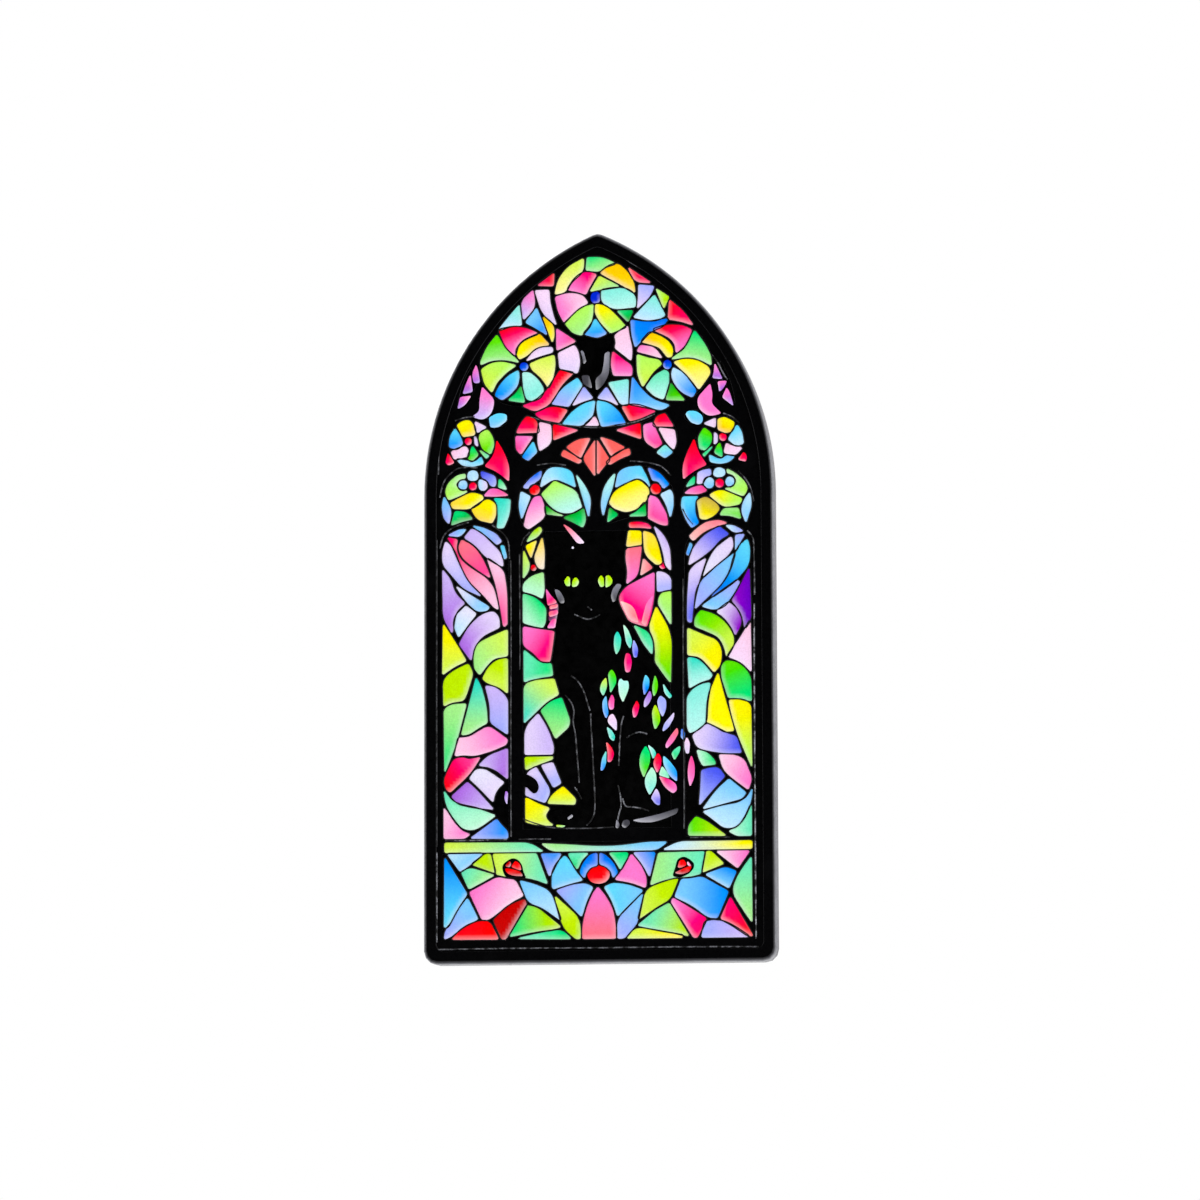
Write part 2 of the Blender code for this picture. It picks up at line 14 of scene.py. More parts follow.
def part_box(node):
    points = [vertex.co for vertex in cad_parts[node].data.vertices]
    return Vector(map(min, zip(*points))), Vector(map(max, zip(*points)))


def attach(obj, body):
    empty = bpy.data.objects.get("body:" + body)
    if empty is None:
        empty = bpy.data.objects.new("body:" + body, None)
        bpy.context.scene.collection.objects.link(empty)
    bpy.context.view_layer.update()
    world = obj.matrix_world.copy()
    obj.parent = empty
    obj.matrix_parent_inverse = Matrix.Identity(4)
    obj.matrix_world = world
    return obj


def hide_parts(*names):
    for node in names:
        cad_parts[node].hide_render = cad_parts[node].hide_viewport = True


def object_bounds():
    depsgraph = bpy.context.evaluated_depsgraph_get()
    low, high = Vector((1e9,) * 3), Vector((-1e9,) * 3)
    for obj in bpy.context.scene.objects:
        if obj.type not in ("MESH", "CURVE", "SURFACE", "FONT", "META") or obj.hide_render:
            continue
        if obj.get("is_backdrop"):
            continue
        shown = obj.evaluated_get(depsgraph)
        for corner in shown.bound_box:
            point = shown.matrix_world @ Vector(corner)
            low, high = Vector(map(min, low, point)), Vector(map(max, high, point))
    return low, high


bl_info = {
    "name": "Gothic Window Enamel Pin",
    "version": (1, 0, 0),
    "blender": (4, 5, 0),
    "location": "3D View > Sidebar > Enamel Pin",
    "description": "Builds a stained glass window pin: casting, fired panes, leading, posts, clutches and stage",
    "category": "Add Mesh",
}

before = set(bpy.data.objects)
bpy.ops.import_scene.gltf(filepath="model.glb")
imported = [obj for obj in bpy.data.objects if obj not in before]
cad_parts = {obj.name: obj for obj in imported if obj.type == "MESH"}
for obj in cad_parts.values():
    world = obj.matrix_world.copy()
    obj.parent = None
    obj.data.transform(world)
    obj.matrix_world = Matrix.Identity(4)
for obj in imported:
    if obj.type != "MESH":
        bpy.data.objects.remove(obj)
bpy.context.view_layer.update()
MM = 0.001
PLATE_LOW, PLATE_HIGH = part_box("cast_plate")
TRACERY_TOP = 1.88
LIFT = 0.035
SAME_SPOT = 1e-6

# ---------------------------------------------------------------- tints and panes

TINTS = {
    "black": (0.0, 0.0, 0.0),
    "pearl": (0.90, 0.89, 0.97),
    "cream": (0.97, 0.90, 0.80),
    "palelav": (0.89, 0.83, 0.97),
    "lavender": (0.80, 0.72, 0.95),
    "violet": (0.68, 0.45, 0.87),
    "purple": (0.58, 0.18, 0.78),
    "deeppurple": (0.42, 0.08, 0.74),
    "indigo": (0.36, 0.40, 0.93),
    "periwinkle": (0.66, 0.70, 0.99),
    "blue": (0.25, 0.60, 1.0),
    "strongblue": (0.06, 0.45, 0.96),
    "hub": (0.03, 0.16, 0.82),
    "sky": (0.52, 0.80, 1.0),
    "palesky": (0.74, 0.90, 1.0),
    "cyan": (0.43, 0.85, 0.98),
    "aqua": (0.55, 0.92, 0.86),
    "paleaqua": (0.72, 0.96, 0.92),
    "teal": (0.25, 0.86, 0.76),
    "mint": (0.46, 0.91, 0.73),
    "palemint": (0.74, 0.97, 0.83),
    "green": (0.20, 0.88, 0.50),
    "leaf": (0.36, 0.88, 0.06),
    "darkgreen": (0.05, 0.68, 0.14),
    "lightgreen": (0.66, 0.93, 0.56),
    "lime": (0.74, 0.91, 0.05),
    "softlime": (0.72, 0.97, 0.42),
    "yellowgreen": (0.83, 0.95, 0.38),
    "paleyellow": (1.0, 0.96, 0.60),
    "yellow": (1.0, 0.94, 0.16),
    "sun": (0.99, 0.96, 0.0),
    "gold": (1.0, 0.87, 0.36),
    "palepink": (0.99, 0.80, 0.90),
    "blush": (0.97, 0.85, 0.96),
    "pink": (1.0, 0.52, 0.80),
    "rose": (1.0, 0.36, 0.62),
    "hotpink": (1.0, 0.08, 0.42),
    "coral": (1.0, 0.50, 0.56),
    "palecoral": (1.0, 0.74, 0.72),
    "red": (1.0, 0.02, 0.10),
    "purered": (1.0, 0.03, 0.02),
    "darkred": (0.78, 0.02, 0.02),
    "grey": (0.52, 0.52, 0.56),
    "darkgrey": (0.26, 0.26, 0.28),
    "plum": (0.45, 0.04, 0.35),
    "khaki": (0.80, 0.70, 0.33),
    "amber": (1.0, 0.78, 0.05),
    "salmon": (1.0, 0.46, 0.44),
}

# Each pane: first tint, last tint, the way from one to the other in degrees, then its corners after a bar.
# A line without a bar carries on the one before. A + lifts a pane onto the one under it, and a ~ leaves out its
# leading.
PANES = {
    "base_panel": """
        blue cyan 270 | -10.55,7.2 -9.05,4.75 -9.75,3.75 -10.35,2.6 -10.58,2.5
        palesky sky 315 | -10.35,7.45 -8.0,7.45 -8.7,6.85 -9.5,6.3
        lime lime 0 | -8.65,6.75 -7.75,7.42 -7.45,7.42 -7.15,6.2
        mint lightgreen 330 | -9.4,6.2 -8.8,6.5 -7.2,6.0 -8.9,5.1
        yellowgreen mint 350 | -7.25,7.42 -4.3,7.42 -3.55,5.4 -4.4,5.72 -5.2,5.88 -6.2,5.9 -7.0,6.08
        +~black black 0 | -6.62,6.65 -6.3,6.95 -5.9,7.15 -5.5,7.0 -5.25,6.6 -5.2,6.2 -5.0,5.8 -5.6,5.7 -6.3,5.8
            -6.55,6.2
        ++~purered red 300 | -6.0,6.55 -5.72,6.95 -5.4,6.72 -5.33,6.3
        ++~purered darkred 300 | -6.42,6.45 -5.9,6.38 -5.4,6.22 -5.2,5.92 -5.9,5.97 -6.3,6.15
        ++~darkred darkred 0 | -6.42,6.62 -6.1,6.95 -6.02,6.75 -6.12,6.52
        pink palepink 330 | -8.85,4.85 -6.95,5.85 -6.3,5.7 -5.75,5.65 -5.2,4.6 -6.0,4.2 -7.3,3.2 -7.6,3.02 -8.0,3.02
        sky periwinkle 225 | -9.0,4.45 -8.3,3.05 -9.3,2.6 -10.15,1.9 -10.58,1.72 -10.5,2.3 -10.1,2.7 -9.6,3.65
        red purered 0 | -10.05,1.7 -9.2,2.5 -8.2,2.87 -7.5,2.85 -6.9,1.68
        darkred darkred 0 | -7.2,2.95 -6.2,3.9 -5.1,4.33 -4.98,4.0 -6.4,1.68 -6.65,1.68
        green lime 10 | -4.9,3.9 -4.2,3.72 -2.65,2.45 -3.2,2.33 -4.2,2.22 -6.1,1.85
        mint green 0 | -5.5,1.7 -4.0,2.02 -2.55,2.22 -1.95,1.65
        sky palesky 290 | -5.4,5.6 -4.3,5.3 -3.35,4.85 -2.68,2.95 -3.9,3.83 -4.85,4.15
        yellowgreen lime 300 | -3.0,4.5 -1.35,3.0 -1.3,1.65 -1.6,1.65 -2.45,2.4
        periwinkle sky 330 | -2.9,4.9 -1.9,5.25 -0.95,5.35 -0.45,5.1 -0.9,4.2 -1.22,3.15
        cyan sky 270 | -3.2,5.15 -3.2,6.0 -2.9,6.7 -2.35,7.25 -2.1,7.0 -1.65,6.2 -1.15,5.6 -2.0,5.4 -3.1,5.05
        periwinkle blue 60 | -3.95,7.4 -2.6,7.4 -3.0,6.7 -3.4,5.9
        mint green 270 | -2.1,7.4 -0.75,7.4 -1.2,7.0 -1.5,6.35 -1.85,6.9
        blue strongblue 60 | -1.32,6.1 -1.1,6.7 -0.6,7.3 -0.15,7.4 -0.15,6.6 -0.6,6.5 -0.92,6.1 -1.0,5.75
        strongblue blue 270 | 0.05,7.4 0.05,6.68 0.5,6.53 0.85,6.15 0.95,5.75 1.25,6.1 0.9,6.8 0.4,7.27
        green mint 270 | 0.7,7.4 1.95,7.4 1.9,7.1 1.45,6.3 1.1,6.9
        pink pink 0 | 2.2,7.3 2.8,6.6 3.2,5.7 3.15,5.05 2.2,5.42 1.1,5.62 1.5,6.1
        periwinkle blue 30 | 2.35,7.4 3.8,7.4 3.42,5.8 3.0,6.6
        cyan sky 0 | 0.35,5.1 0.9,5.35 1.9,5.25 2.95,4.85 1.25,3.15 0.9,4.2
        pink coral 270 | -0.1,5.1 0.4,4.5 0.9,3.6 1.07,2.6 1.1,1.65 -1.15,1.65 -1.1,2.7 -0.8,3.8 -0.4,4.7
        sky periwinkle 240 | 2.95,4.6 2.6,2.9 2.5,2.6 1.7,1.65 1.25,1.65 1.25,2.95
        lightgreen mint 0 | 4.05,7.35 7.15,7.4 6.88,5.95 6.2,5.78 5.0,5.72 4.2,5.47 3.5,5.22
        +~black black 0 | 6.45,6.62 6.1,6.95 5.7,7.1 5.32,6.9 5.2,6.4 5.0,5.8 5.5,5.68 6.1,5.95 6.42,6.3
        ++~purered red 270 | 5.35,6.35 5.48,6.82 5.75,6.9 5.95,6.55 5.7,6.4
        ++~purered darkred 270 | 5.15,6.0 5.9,6.35 6.28,6.45 6.15,6.1 5.6,5.9
        ++~palepink rose 0 | 6.0,6.78 6.28,6.45 6.02,6.5
        lime yellowgreen 200 | 3.2,4.87 4.1,5.3 5.35,5.6 4.8,4.25 4.0,3.83 2.7,2.95
        mint lime 340 | 4.75,3.95 3.9,3.52 2.65,2.5 4.0,2.2 5.2,2.0 6.05,1.75
        yellowgreen yellow 0 | 2.5,2.32 4.0,2.05 5.6,1.75 5.6,1.65 1.9,1.65
        pink hotpink 320 | 5.0,4.3 6.0,3.7 7.25,2.9 6.65,1.65 6.4,1.65 4.9,4.05
        sky blue 0 | 5.6,5.55 6.3,5.58 6.95,5.72 8.75,4.7 8.0,2.95 7.4,3.0 6.3,3.85 5.15,4.4
        periwinkle lavender 0 | 7.2,2.65 7.7,2.75 8.5,2.65 9.3,2.2 10.1,1.65 6.95,1.65
        hotpink purered 315 | 8.9,4.3 10.4,1.7 10.1,1.75 9.0,2.5 8.25,2.9
        mint lightgreen 270 | 10.33,7.0 10.35,2.65 9.9,3.3 9.0,4.7 9.5,5.9
        blue sky 240 | 9.3,6.05 8.6,6.35 7.25,5.87 8.8,4.95
        lime yellowgreen 300 | 7.3,7.42 7.6,7.42 8.45,6.6 7.05,6.05
        palepink pink 0 | 8.0,7.42 10.2,7.42 9.4,6.3
    """,
    "base_jewel": """
        ~purered red 270 | -0.85,5.95 -0.6,6.42 -0.05,6.6 0.5,6.42 0.75,5.95 0.5,5.48 -0.05,5.32 -0.6,5.48
    """,
    "left_lancet": """
        palepink pink 330 | -10.6,10.6 -9.95,9.6 -9.4,9.0 -8.85,8.8 -9.2,8.55 -10.6,8.55
        mint palemint 280 | -10.6,11.75 -10.1,11.05 -9.5,10.78 -8.4,10.55 -7.1,10.05 -8.0,9.4 -8.6,9.1 -9.3,9.2
            -9.9,9.9 -10.45,10.8
        periwinkle blue 0 | -8.75,8.55 -7.0,9.8 -6.7,9.4 -6.25,8.95 -6.25,8.5
        violet lavender 330 | -9.0,12.35 -8.3,11.7 -7.25,10.5 -8.5,10.67 -9.6,10.92 -10.08,11.4
        pearl palelav 300 | -8.4,13.22 -7.8,13.2 -7.2,12.8 -6.5,12.3 -6.95,11.9 -7.2,11.4 -7.25,11.0 -8.2,12.0
            -8.85,12.6
        lavender violet 350 | -8.2,13.5 -7.6,14.1 -6.25,14.6 -6.25,12.55 -6.9,13.1 -7.5,13.4
        rose red 215 | -9.9,13.95 -9.3,14.02 -8.9,13.87 -8.15,14.02 -8.6,13.3 -9.1,12.7 -10.2,11.7 -10.45,11.9
            -10.6,12.5 -10.3,13.2
        lightgreen green 270 | -10.6,17.35 -10.1,17.65 -9.1,17.7 -9.8,15.0 -10.55,13.1
        palepink pink 20 | -9.6,15.35 -8.85,15.4 -8.2,15.8 -7.55,16.15 -6.9,15.7 -6.25,15.2 -6.35,14.9 -7.3,14.5
            -8.5,14.17 -9.3,14.25 -9.85,14.17
        teal lightgreen 270 | -8.4,19.45 -8.05,18.8 -7.72,17.5 -7.65,16.4 -8.3,16.05 -8.9,15.65 -9.4,15.6 -8.8,17.9
        lavender periwinkle 280 | -7.75,18.9 -7.1,18.8 -6.5,18.3 -6.25,17.9 -6.25,15.6 -7.0,16.1 -7.42,16.42
            -7.42,17.6
        lime lime 0 | -10.65,19.4 -9.9,20.0 -8.95,20.42 -8.62,19.8 -9.1,18.3 -9.3,17.95 -10.1,17.85 -10.62,17.6
        lime yellowgreen 250 | -6.25,20.75 -7.0,20.65 -7.6,20.1 -7.95,19.4 -7.6,19.12 -6.8,18.85 -6.25,18.4
        yellowgreen lightgreen 220 | -6.25,22.72 -7.3,22.3 -8.3,21.8 -8.55,21.0 -8.5,20.1 -8.15,19.7 -7.7,20.3
            -7.2,20.82 -6.25,20.95
        yellow yellowgreen 270 | -10.65,23.15 -9.9,22.0 -9.1,20.65 -9.9,20.3 -10.7,19.75
        palelav violet 225 | -7.2,24.0 -6.85,23.6 -6.8,22.92 -8.0,22.35 -8.6,21.6 -8.75,20.7 -9.55,21.8 -8.9,23.0
            -8.0,23.8
        pearl palesky 250 | -9.1,24.4 -8.4,23.85 -8.95,23.2 -9.6,22.3 -9.9,23.0 -9.82,23.7
        lavender violet 280 | -10.7,26.9 -10.15,26.2 -9.9,25.3 -9.2,24.6 -9.8,24.1 -10.0,23.3 -10.05,22.6 -10.65,23.6
        pearl sky 330 | -9.75,25.75 -8.6,25.0 -7.5,24.3 -7.65,24.1 -8.3,24.02 -9.1,24.75
        palelav periwinkle 300 | -10.5,28.85 -10.2,28.6 -9.6,27.2 -9.0,26.0 -8.1,25.1 -9.3,25.65 -10.05,26.55
            -10.7,27.3 -10.7,28.2
        periwinkle sky 0 | -10.3,29.3 -9.6,29.65 -9.1,29.68 -9.5,29.2
        hotpink palepink 300 | -10.35,29.12 -9.7,28.98 -9.82,28.35 -9.55,27.65 -8.9,27.05 -7.75,26.3 -7.25,25.7
            -7.05,25.0 -6.88,24.15 -7.15,24.3 -8.0,25.3 -8.85,26.1 -9.35,27.1 -9.8,28.3
        coral rose 300 | -9.4,28.95 -8.6,28.5 -8.0,27.7 -7.6,26.8 -7.45,26.35 -8.4,26.98 -9.3,27.7 -9.62,28.4
        lavender palelav 300 | -8.7,29.7 -8.1,29.4 -7.4,28.7 -6.8,28.1 -6.6,27.6 -6.55,27.1 -7.2,27.45 -7.8,27.85
            -8.4,28.6 -9.2,29.12
        sky periwinkle 0 | -8.6,29.9 -7.9,29.75 -7.0,29.3 -6.65,28.8 -6.95,28.6 -7.7,29.3
        cyan sky 270 | -6.7,28.5 -6.5,28.5 -6.3,27.7 -6.45,27.6
        palepink rose 290 | -7.6,27.6 -6.9,27.1 -6.5,26.7 -6.3,25.3 -6.28,23.1 -6.5,22.95 -6.7,24.2 -7.0,25.8
            -7.4,27.0
        ~violet lavender 270 | -6.38,11.72 -6.24,11.6 -6.3,10.8 -6.46,11.2
    """,
    "right_lancet": """
        leaf lime 350 | 6.1,8.55 6.1,9.2 6.6,9.78 7.3,9.45 8.2,8.8 8.6,8.5
        palemint mint 0 | 10.35,10.5 10.0,9.7 9.5,9.0 8.85,8.78 9.35,8.48 10.35,8.48
        sky palesky 250 | 10.42,11.6 10.1,11.0 9.5,10.65 8.4,10.47 7.1,10.12 7.8,9.6 8.5,9.02 9.2,9.05 9.8,9.6
            10.3,10.7
        palesky sky 60 | 8.85,12.3 10.0,11.35 9.7,11.0 8.6,10.72 7.1,10.33 8.0,11.55
        indigo periwinkle 240 | 8.15,13.1 8.55,12.5 7.7,11.6 6.85,10.6 6.95,11.8 7.0,12.9 7.5,13.05
        palemint green 0 | 6.7,14.3 7.4,14.1 7.85,13.6 7.95,13.35 7.1,13.25 6.85,13.7
        palepink pink 330 | 8.2,13.95 9.3,13.9 9.9,13.6 10.4,12.3 10.15,11.6 9.1,12.4 8.5,12.95
        palelav indigo 350 | 7.4,16.05 8.1,15.7 8.8,15.33 9.35,15.2 9.7,14.1 8.5,14.1 7.4,14.3 6.7,14.5 6.4,15.3
        yellow softlime 270 | 8.9,17.65 9.8,17.65 10.35,17.35 10.4,13.15 10.0,14.1 9.5,15.3 9.1,16.6
        sun sun 0 | 8.15,19.5 8.45,18.3 9.2,15.6 8.6,15.55 7.9,16.0 7.4,16.22 7.5,18.0
        aqua paleaqua 300 | 7.6,18.85 7.0,18.75 6.4,18.4 6.05,17.9 6.05,15.9 6.2,15.5 6.8,15.75 7.3,16.25 7.35,17.5
        paleaqua teal 100 | 6.1,20.6 6.7,20.52 7.2,20.1 7.75,19.4 7.6,19.15 6.9,18.95 6.2,18.55
        leaf green 290 | 8.7,20.35 9.5,20.2 10.35,19.4 10.4,17.6 9.5,17.85 8.85,17.85 8.4,19.3 8.4,20.0
        yellowgreen yellow 315 | 6.1,22.6 7.2,22.1 8.1,21.75 8.4,21.0 8.3,20.1 7.9,19.6 7.4,20.2 6.9,20.7 6.1,20.8
        leaf yellowgreen 310 | 7.0,23.8 8.0,23.5 8.8,22.8 9.35,21.7 8.75,20.65 8.62,21.3 8.25,22.0 7.5,22.37 6.6,22.75
            6.6,23.3
        palepink blush 225 | 10.35,23.0 9.9,22.2 8.85,20.65 9.8,20.25 10.4,19.6
        palelav purple 330 | 8.1,23.7 8.9,24.3 9.4,23.9 9.72,23.3 9.7,22.8 9.35,22.1 9.15,22.6 8.65,23.3
        purple deeppurple 0 | 9.15,24.45 9.6,25.2 10.3,26.6 10.4,23.2 10.0,22.6 9.9,23.2 9.6,23.9
        periwinkle sky 240 | 9.5,25.8 9.65,25.7 9.2,24.9 8.6,24.1 7.9,23.85 7.1,24.1 8.2,24.9
        cyan strongblue 230 | 10.2,28.6 10.35,28.0 10.3,26.9 9.5,25.97 8.9,25.5 7.75,24.75 8.6,25.6 9.1,26.5 9.3,27.4
            9.7,28.2
        sky periwinkle 225 | 9.3,27.65 9.0,26.6 8.4,25.6 7.3,24.6 6.62,23.95 6.75,25.2 7.2,26.0 8.3,26.9
        palelav pearl 225 | 9.1,28.8 9.25,28.2 8.9,27.6 8.0,26.9 7.2,26.15 7.5,27.1 8.0,28.0
        indigo palelav 225 | 8.3,29.5 8.92,29.0 8.3,28.65 7.8,28.05 7.1,27.5 6.2,26.95 6.4,27.9 7.2,28.9
        coral palecoral 200 | 6.25,28.9 6.5,28.6 7.3,29.3 8.4,29.68 8.8,29.75 8.3,29.95 7.4,29.85 6.7,29.35
        palesky periwinkle 0 | 8.75,29.6 9.3,29.55 9.9,29.2 9.3,29.1
        periwinkle sky 270 | 9.4,28.9 10.0,28.95 9.6,28.3 9.4,27.9
        palelav indigo 280 | 7.35,27.35 6.6,26.9 6.25,26.5 6.1,24.5 6.1,23.1 6.35,23.0 6.5,24.5 6.9,26.0
        sky blue 270 | 6.3,28.45 6.42,28.3 6.18,27.6 6.05,27.7
    """,
    "centre_left": """
        lime lightgreen 250 | -4.0,29.75 -3.87,29.5 -4.15,29.1 -4.9,28.75 -4.5,29.4
        yellow gold 300 | -4.97,28.45 -4.25,28.8 -4.62,27.65
        gold cream 270 | -3.85,29.0 -3.7,28.0 -3.75,26.85 -4.12,26.95 -4.4,27.6
        yellowgreen lightgreen 270 | -5.12,28.12 -4.72,27.2 -4.82,26.7 -5.15,26.25
        ~red darkred 270 | -4.65,26.95 -4.58,27.1 -4.45,27.15 -4.32,27.1 -4.25,26.95 -4.32,26.8 -4.45,26.75 -4.58,26.8
        lightgreen palemint 250 | -5.15,25.85 -4.6,26.35 -3.78,26.6 -3.72,25.4 -3.85,24.85 -4.5,25.2 -5.15,25.35
        green palemint 215 | -5.15,25.15 -4.4,24.9 -3.9,24.5 -3.6,24.1 -3.65,23.2 -3.8,22.85 -4.5,23.0 -5.15,23.2
        pink hotpink 330 | -5.15,22.9 -4.2,22.72 -3.05,22.55 -3.2,21.4 -3.35,20.5 -3.9,20.52 -4.5,21.2 -5.15,21.6
        mint green 350 | -5.1,21.3 -4.5,20.8 -4.0,20.38 -3.25,20.35 -3.15,19.55 -4.2,19.42 -5.1,19.15
        yellowgreen teal 230 | -3.05,19.3 -4.2,19.22 -4.8,19.1 -5.1,18.8 -5.1,16.35 -4.4,17.0 -3.6,17.78 -2.75,18.25
        green lightgreen 260 | -2.55,18.0 -3.3,17.75 -3.95,17.15 -3.4,16.2 -2.95,15.25 -2.05,16.05 -2.0,16.5
        palelav lavender 0 | -4.15,16.95 -5.05,16.0 -5.05,14.2 -3.15,14.2 -3.1,14.7 -3.5,15.9
        lime lime 0 | -5.05,13.98 -3.15,13.98 -3.2,13.85 -4.2,13.5 -5.0,13.15
        palelav periwinkle 330 | -4.95,12.9 -4.3,13.3 -3.3,11.65 -3.7,10.9 -5.0,11.4
        palelav periwinkle 300 | -3.92,13.42 -3.15,13.6 -2.6,12.2 -3.1,11.92
        yellow yellowgreen 300 | -5.0,11.25 -4.2,10.8 -3.4,10.5 -3.72,10.0 -3.5,9.6 -3.15,9.35 -4.2,9.4 -5.0,9.6
        yellow yellowgreen 270 | -2.45,11.95 -3.2,11.4 -3.5,10.85 -2.6,10.8 -1.65,10.75 -1.6,11.1
    """,
    "centre_right": """
        red hotpink 0 | 2.15,29.9 2.8,29.95 3.4,29.8 3.65,29.5 2.9,29.6 2.15,29.6
        yellow gold 270 | 2.1,29.35 2.92,29.3 2.95,28.4 1.95,28.3
        gold yellow 270 | 3.1,29.3 3.8,29.1 4.1,28.3 4.35,27.1 4.0,27.0 3.2,27.7
        lavender palelav 270 | 3.85,29.6 4.4,29.1 4.88,28.2 4.95,26.6 4.62,26.95 4.45,28.0
        coral pink 270 | 1.95,28.1 2.95,28.25 2.8,27.0 2.65,26.25 1.95,25.75 2.05,26.6 1.9,27.4
        palecoral coral 0 | 3.1,27.42 3.7,26.8 2.9,26.3
        ~red hotpink 270 | 4.17,26.95 4.24,27.12 4.4,27.2 4.56,27.12 4.63,26.95 4.56,26.78 4.4,26.7 4.24,26.78
        palelav periwinkle 270 | 4.02,26.5 4.5,26.45 4.95,26.1 4.95,25.3 4.05,25.17
        pink hotpink 235 | 3.82,26.45 2.9,26.0 1.9,25.5 1.45,24.9 1.5,24.4 2.1,23.2 2.6,23.0 3.3,22.8 3.55,23.5
            3.8,24.8
        +~palecoral coral 330 | 1.5,24.55 2.4,24.2 2.75,23.05 2.1,23.25
        +~coral pink 60 | 2.95,23.0 3.25,22.85 3.5,23.6 3.76,24.9 3.3,24.4
        softlime lightgreen 250 | 4.95,25.15 4.3,25.05 4.05,24.4 4.95,22.9
        sun leaf 280 | 3.95,24.1 3.45,22.7 3.85,21.9 3.92,20.9 3.87,20.4 4.4,19.6 4.9,18.95 4.98,22.3
        green mint 300 | 2.45,22.85 3.4,22.4 3.7,21.6 3.65,20.9 3.1,21.6
    """,
    "sill": """
        yellowgreen mint 0 | -10.55,8.22 -4.75,8.15 -3.85,7.6 -10.55,7.6
        lightgreen sky 0 | -3.9,8.08 -2.0,7.98 -0.5,7.86 1.0,7.84 2.2,7.95 3.2,8.08 4.6,8.1 3.95,7.6 -3.25,7.6
        palesky sun 0 | 4.4,7.6 5.4,8.1 10.38,8.1 10.38,7.6
    """,
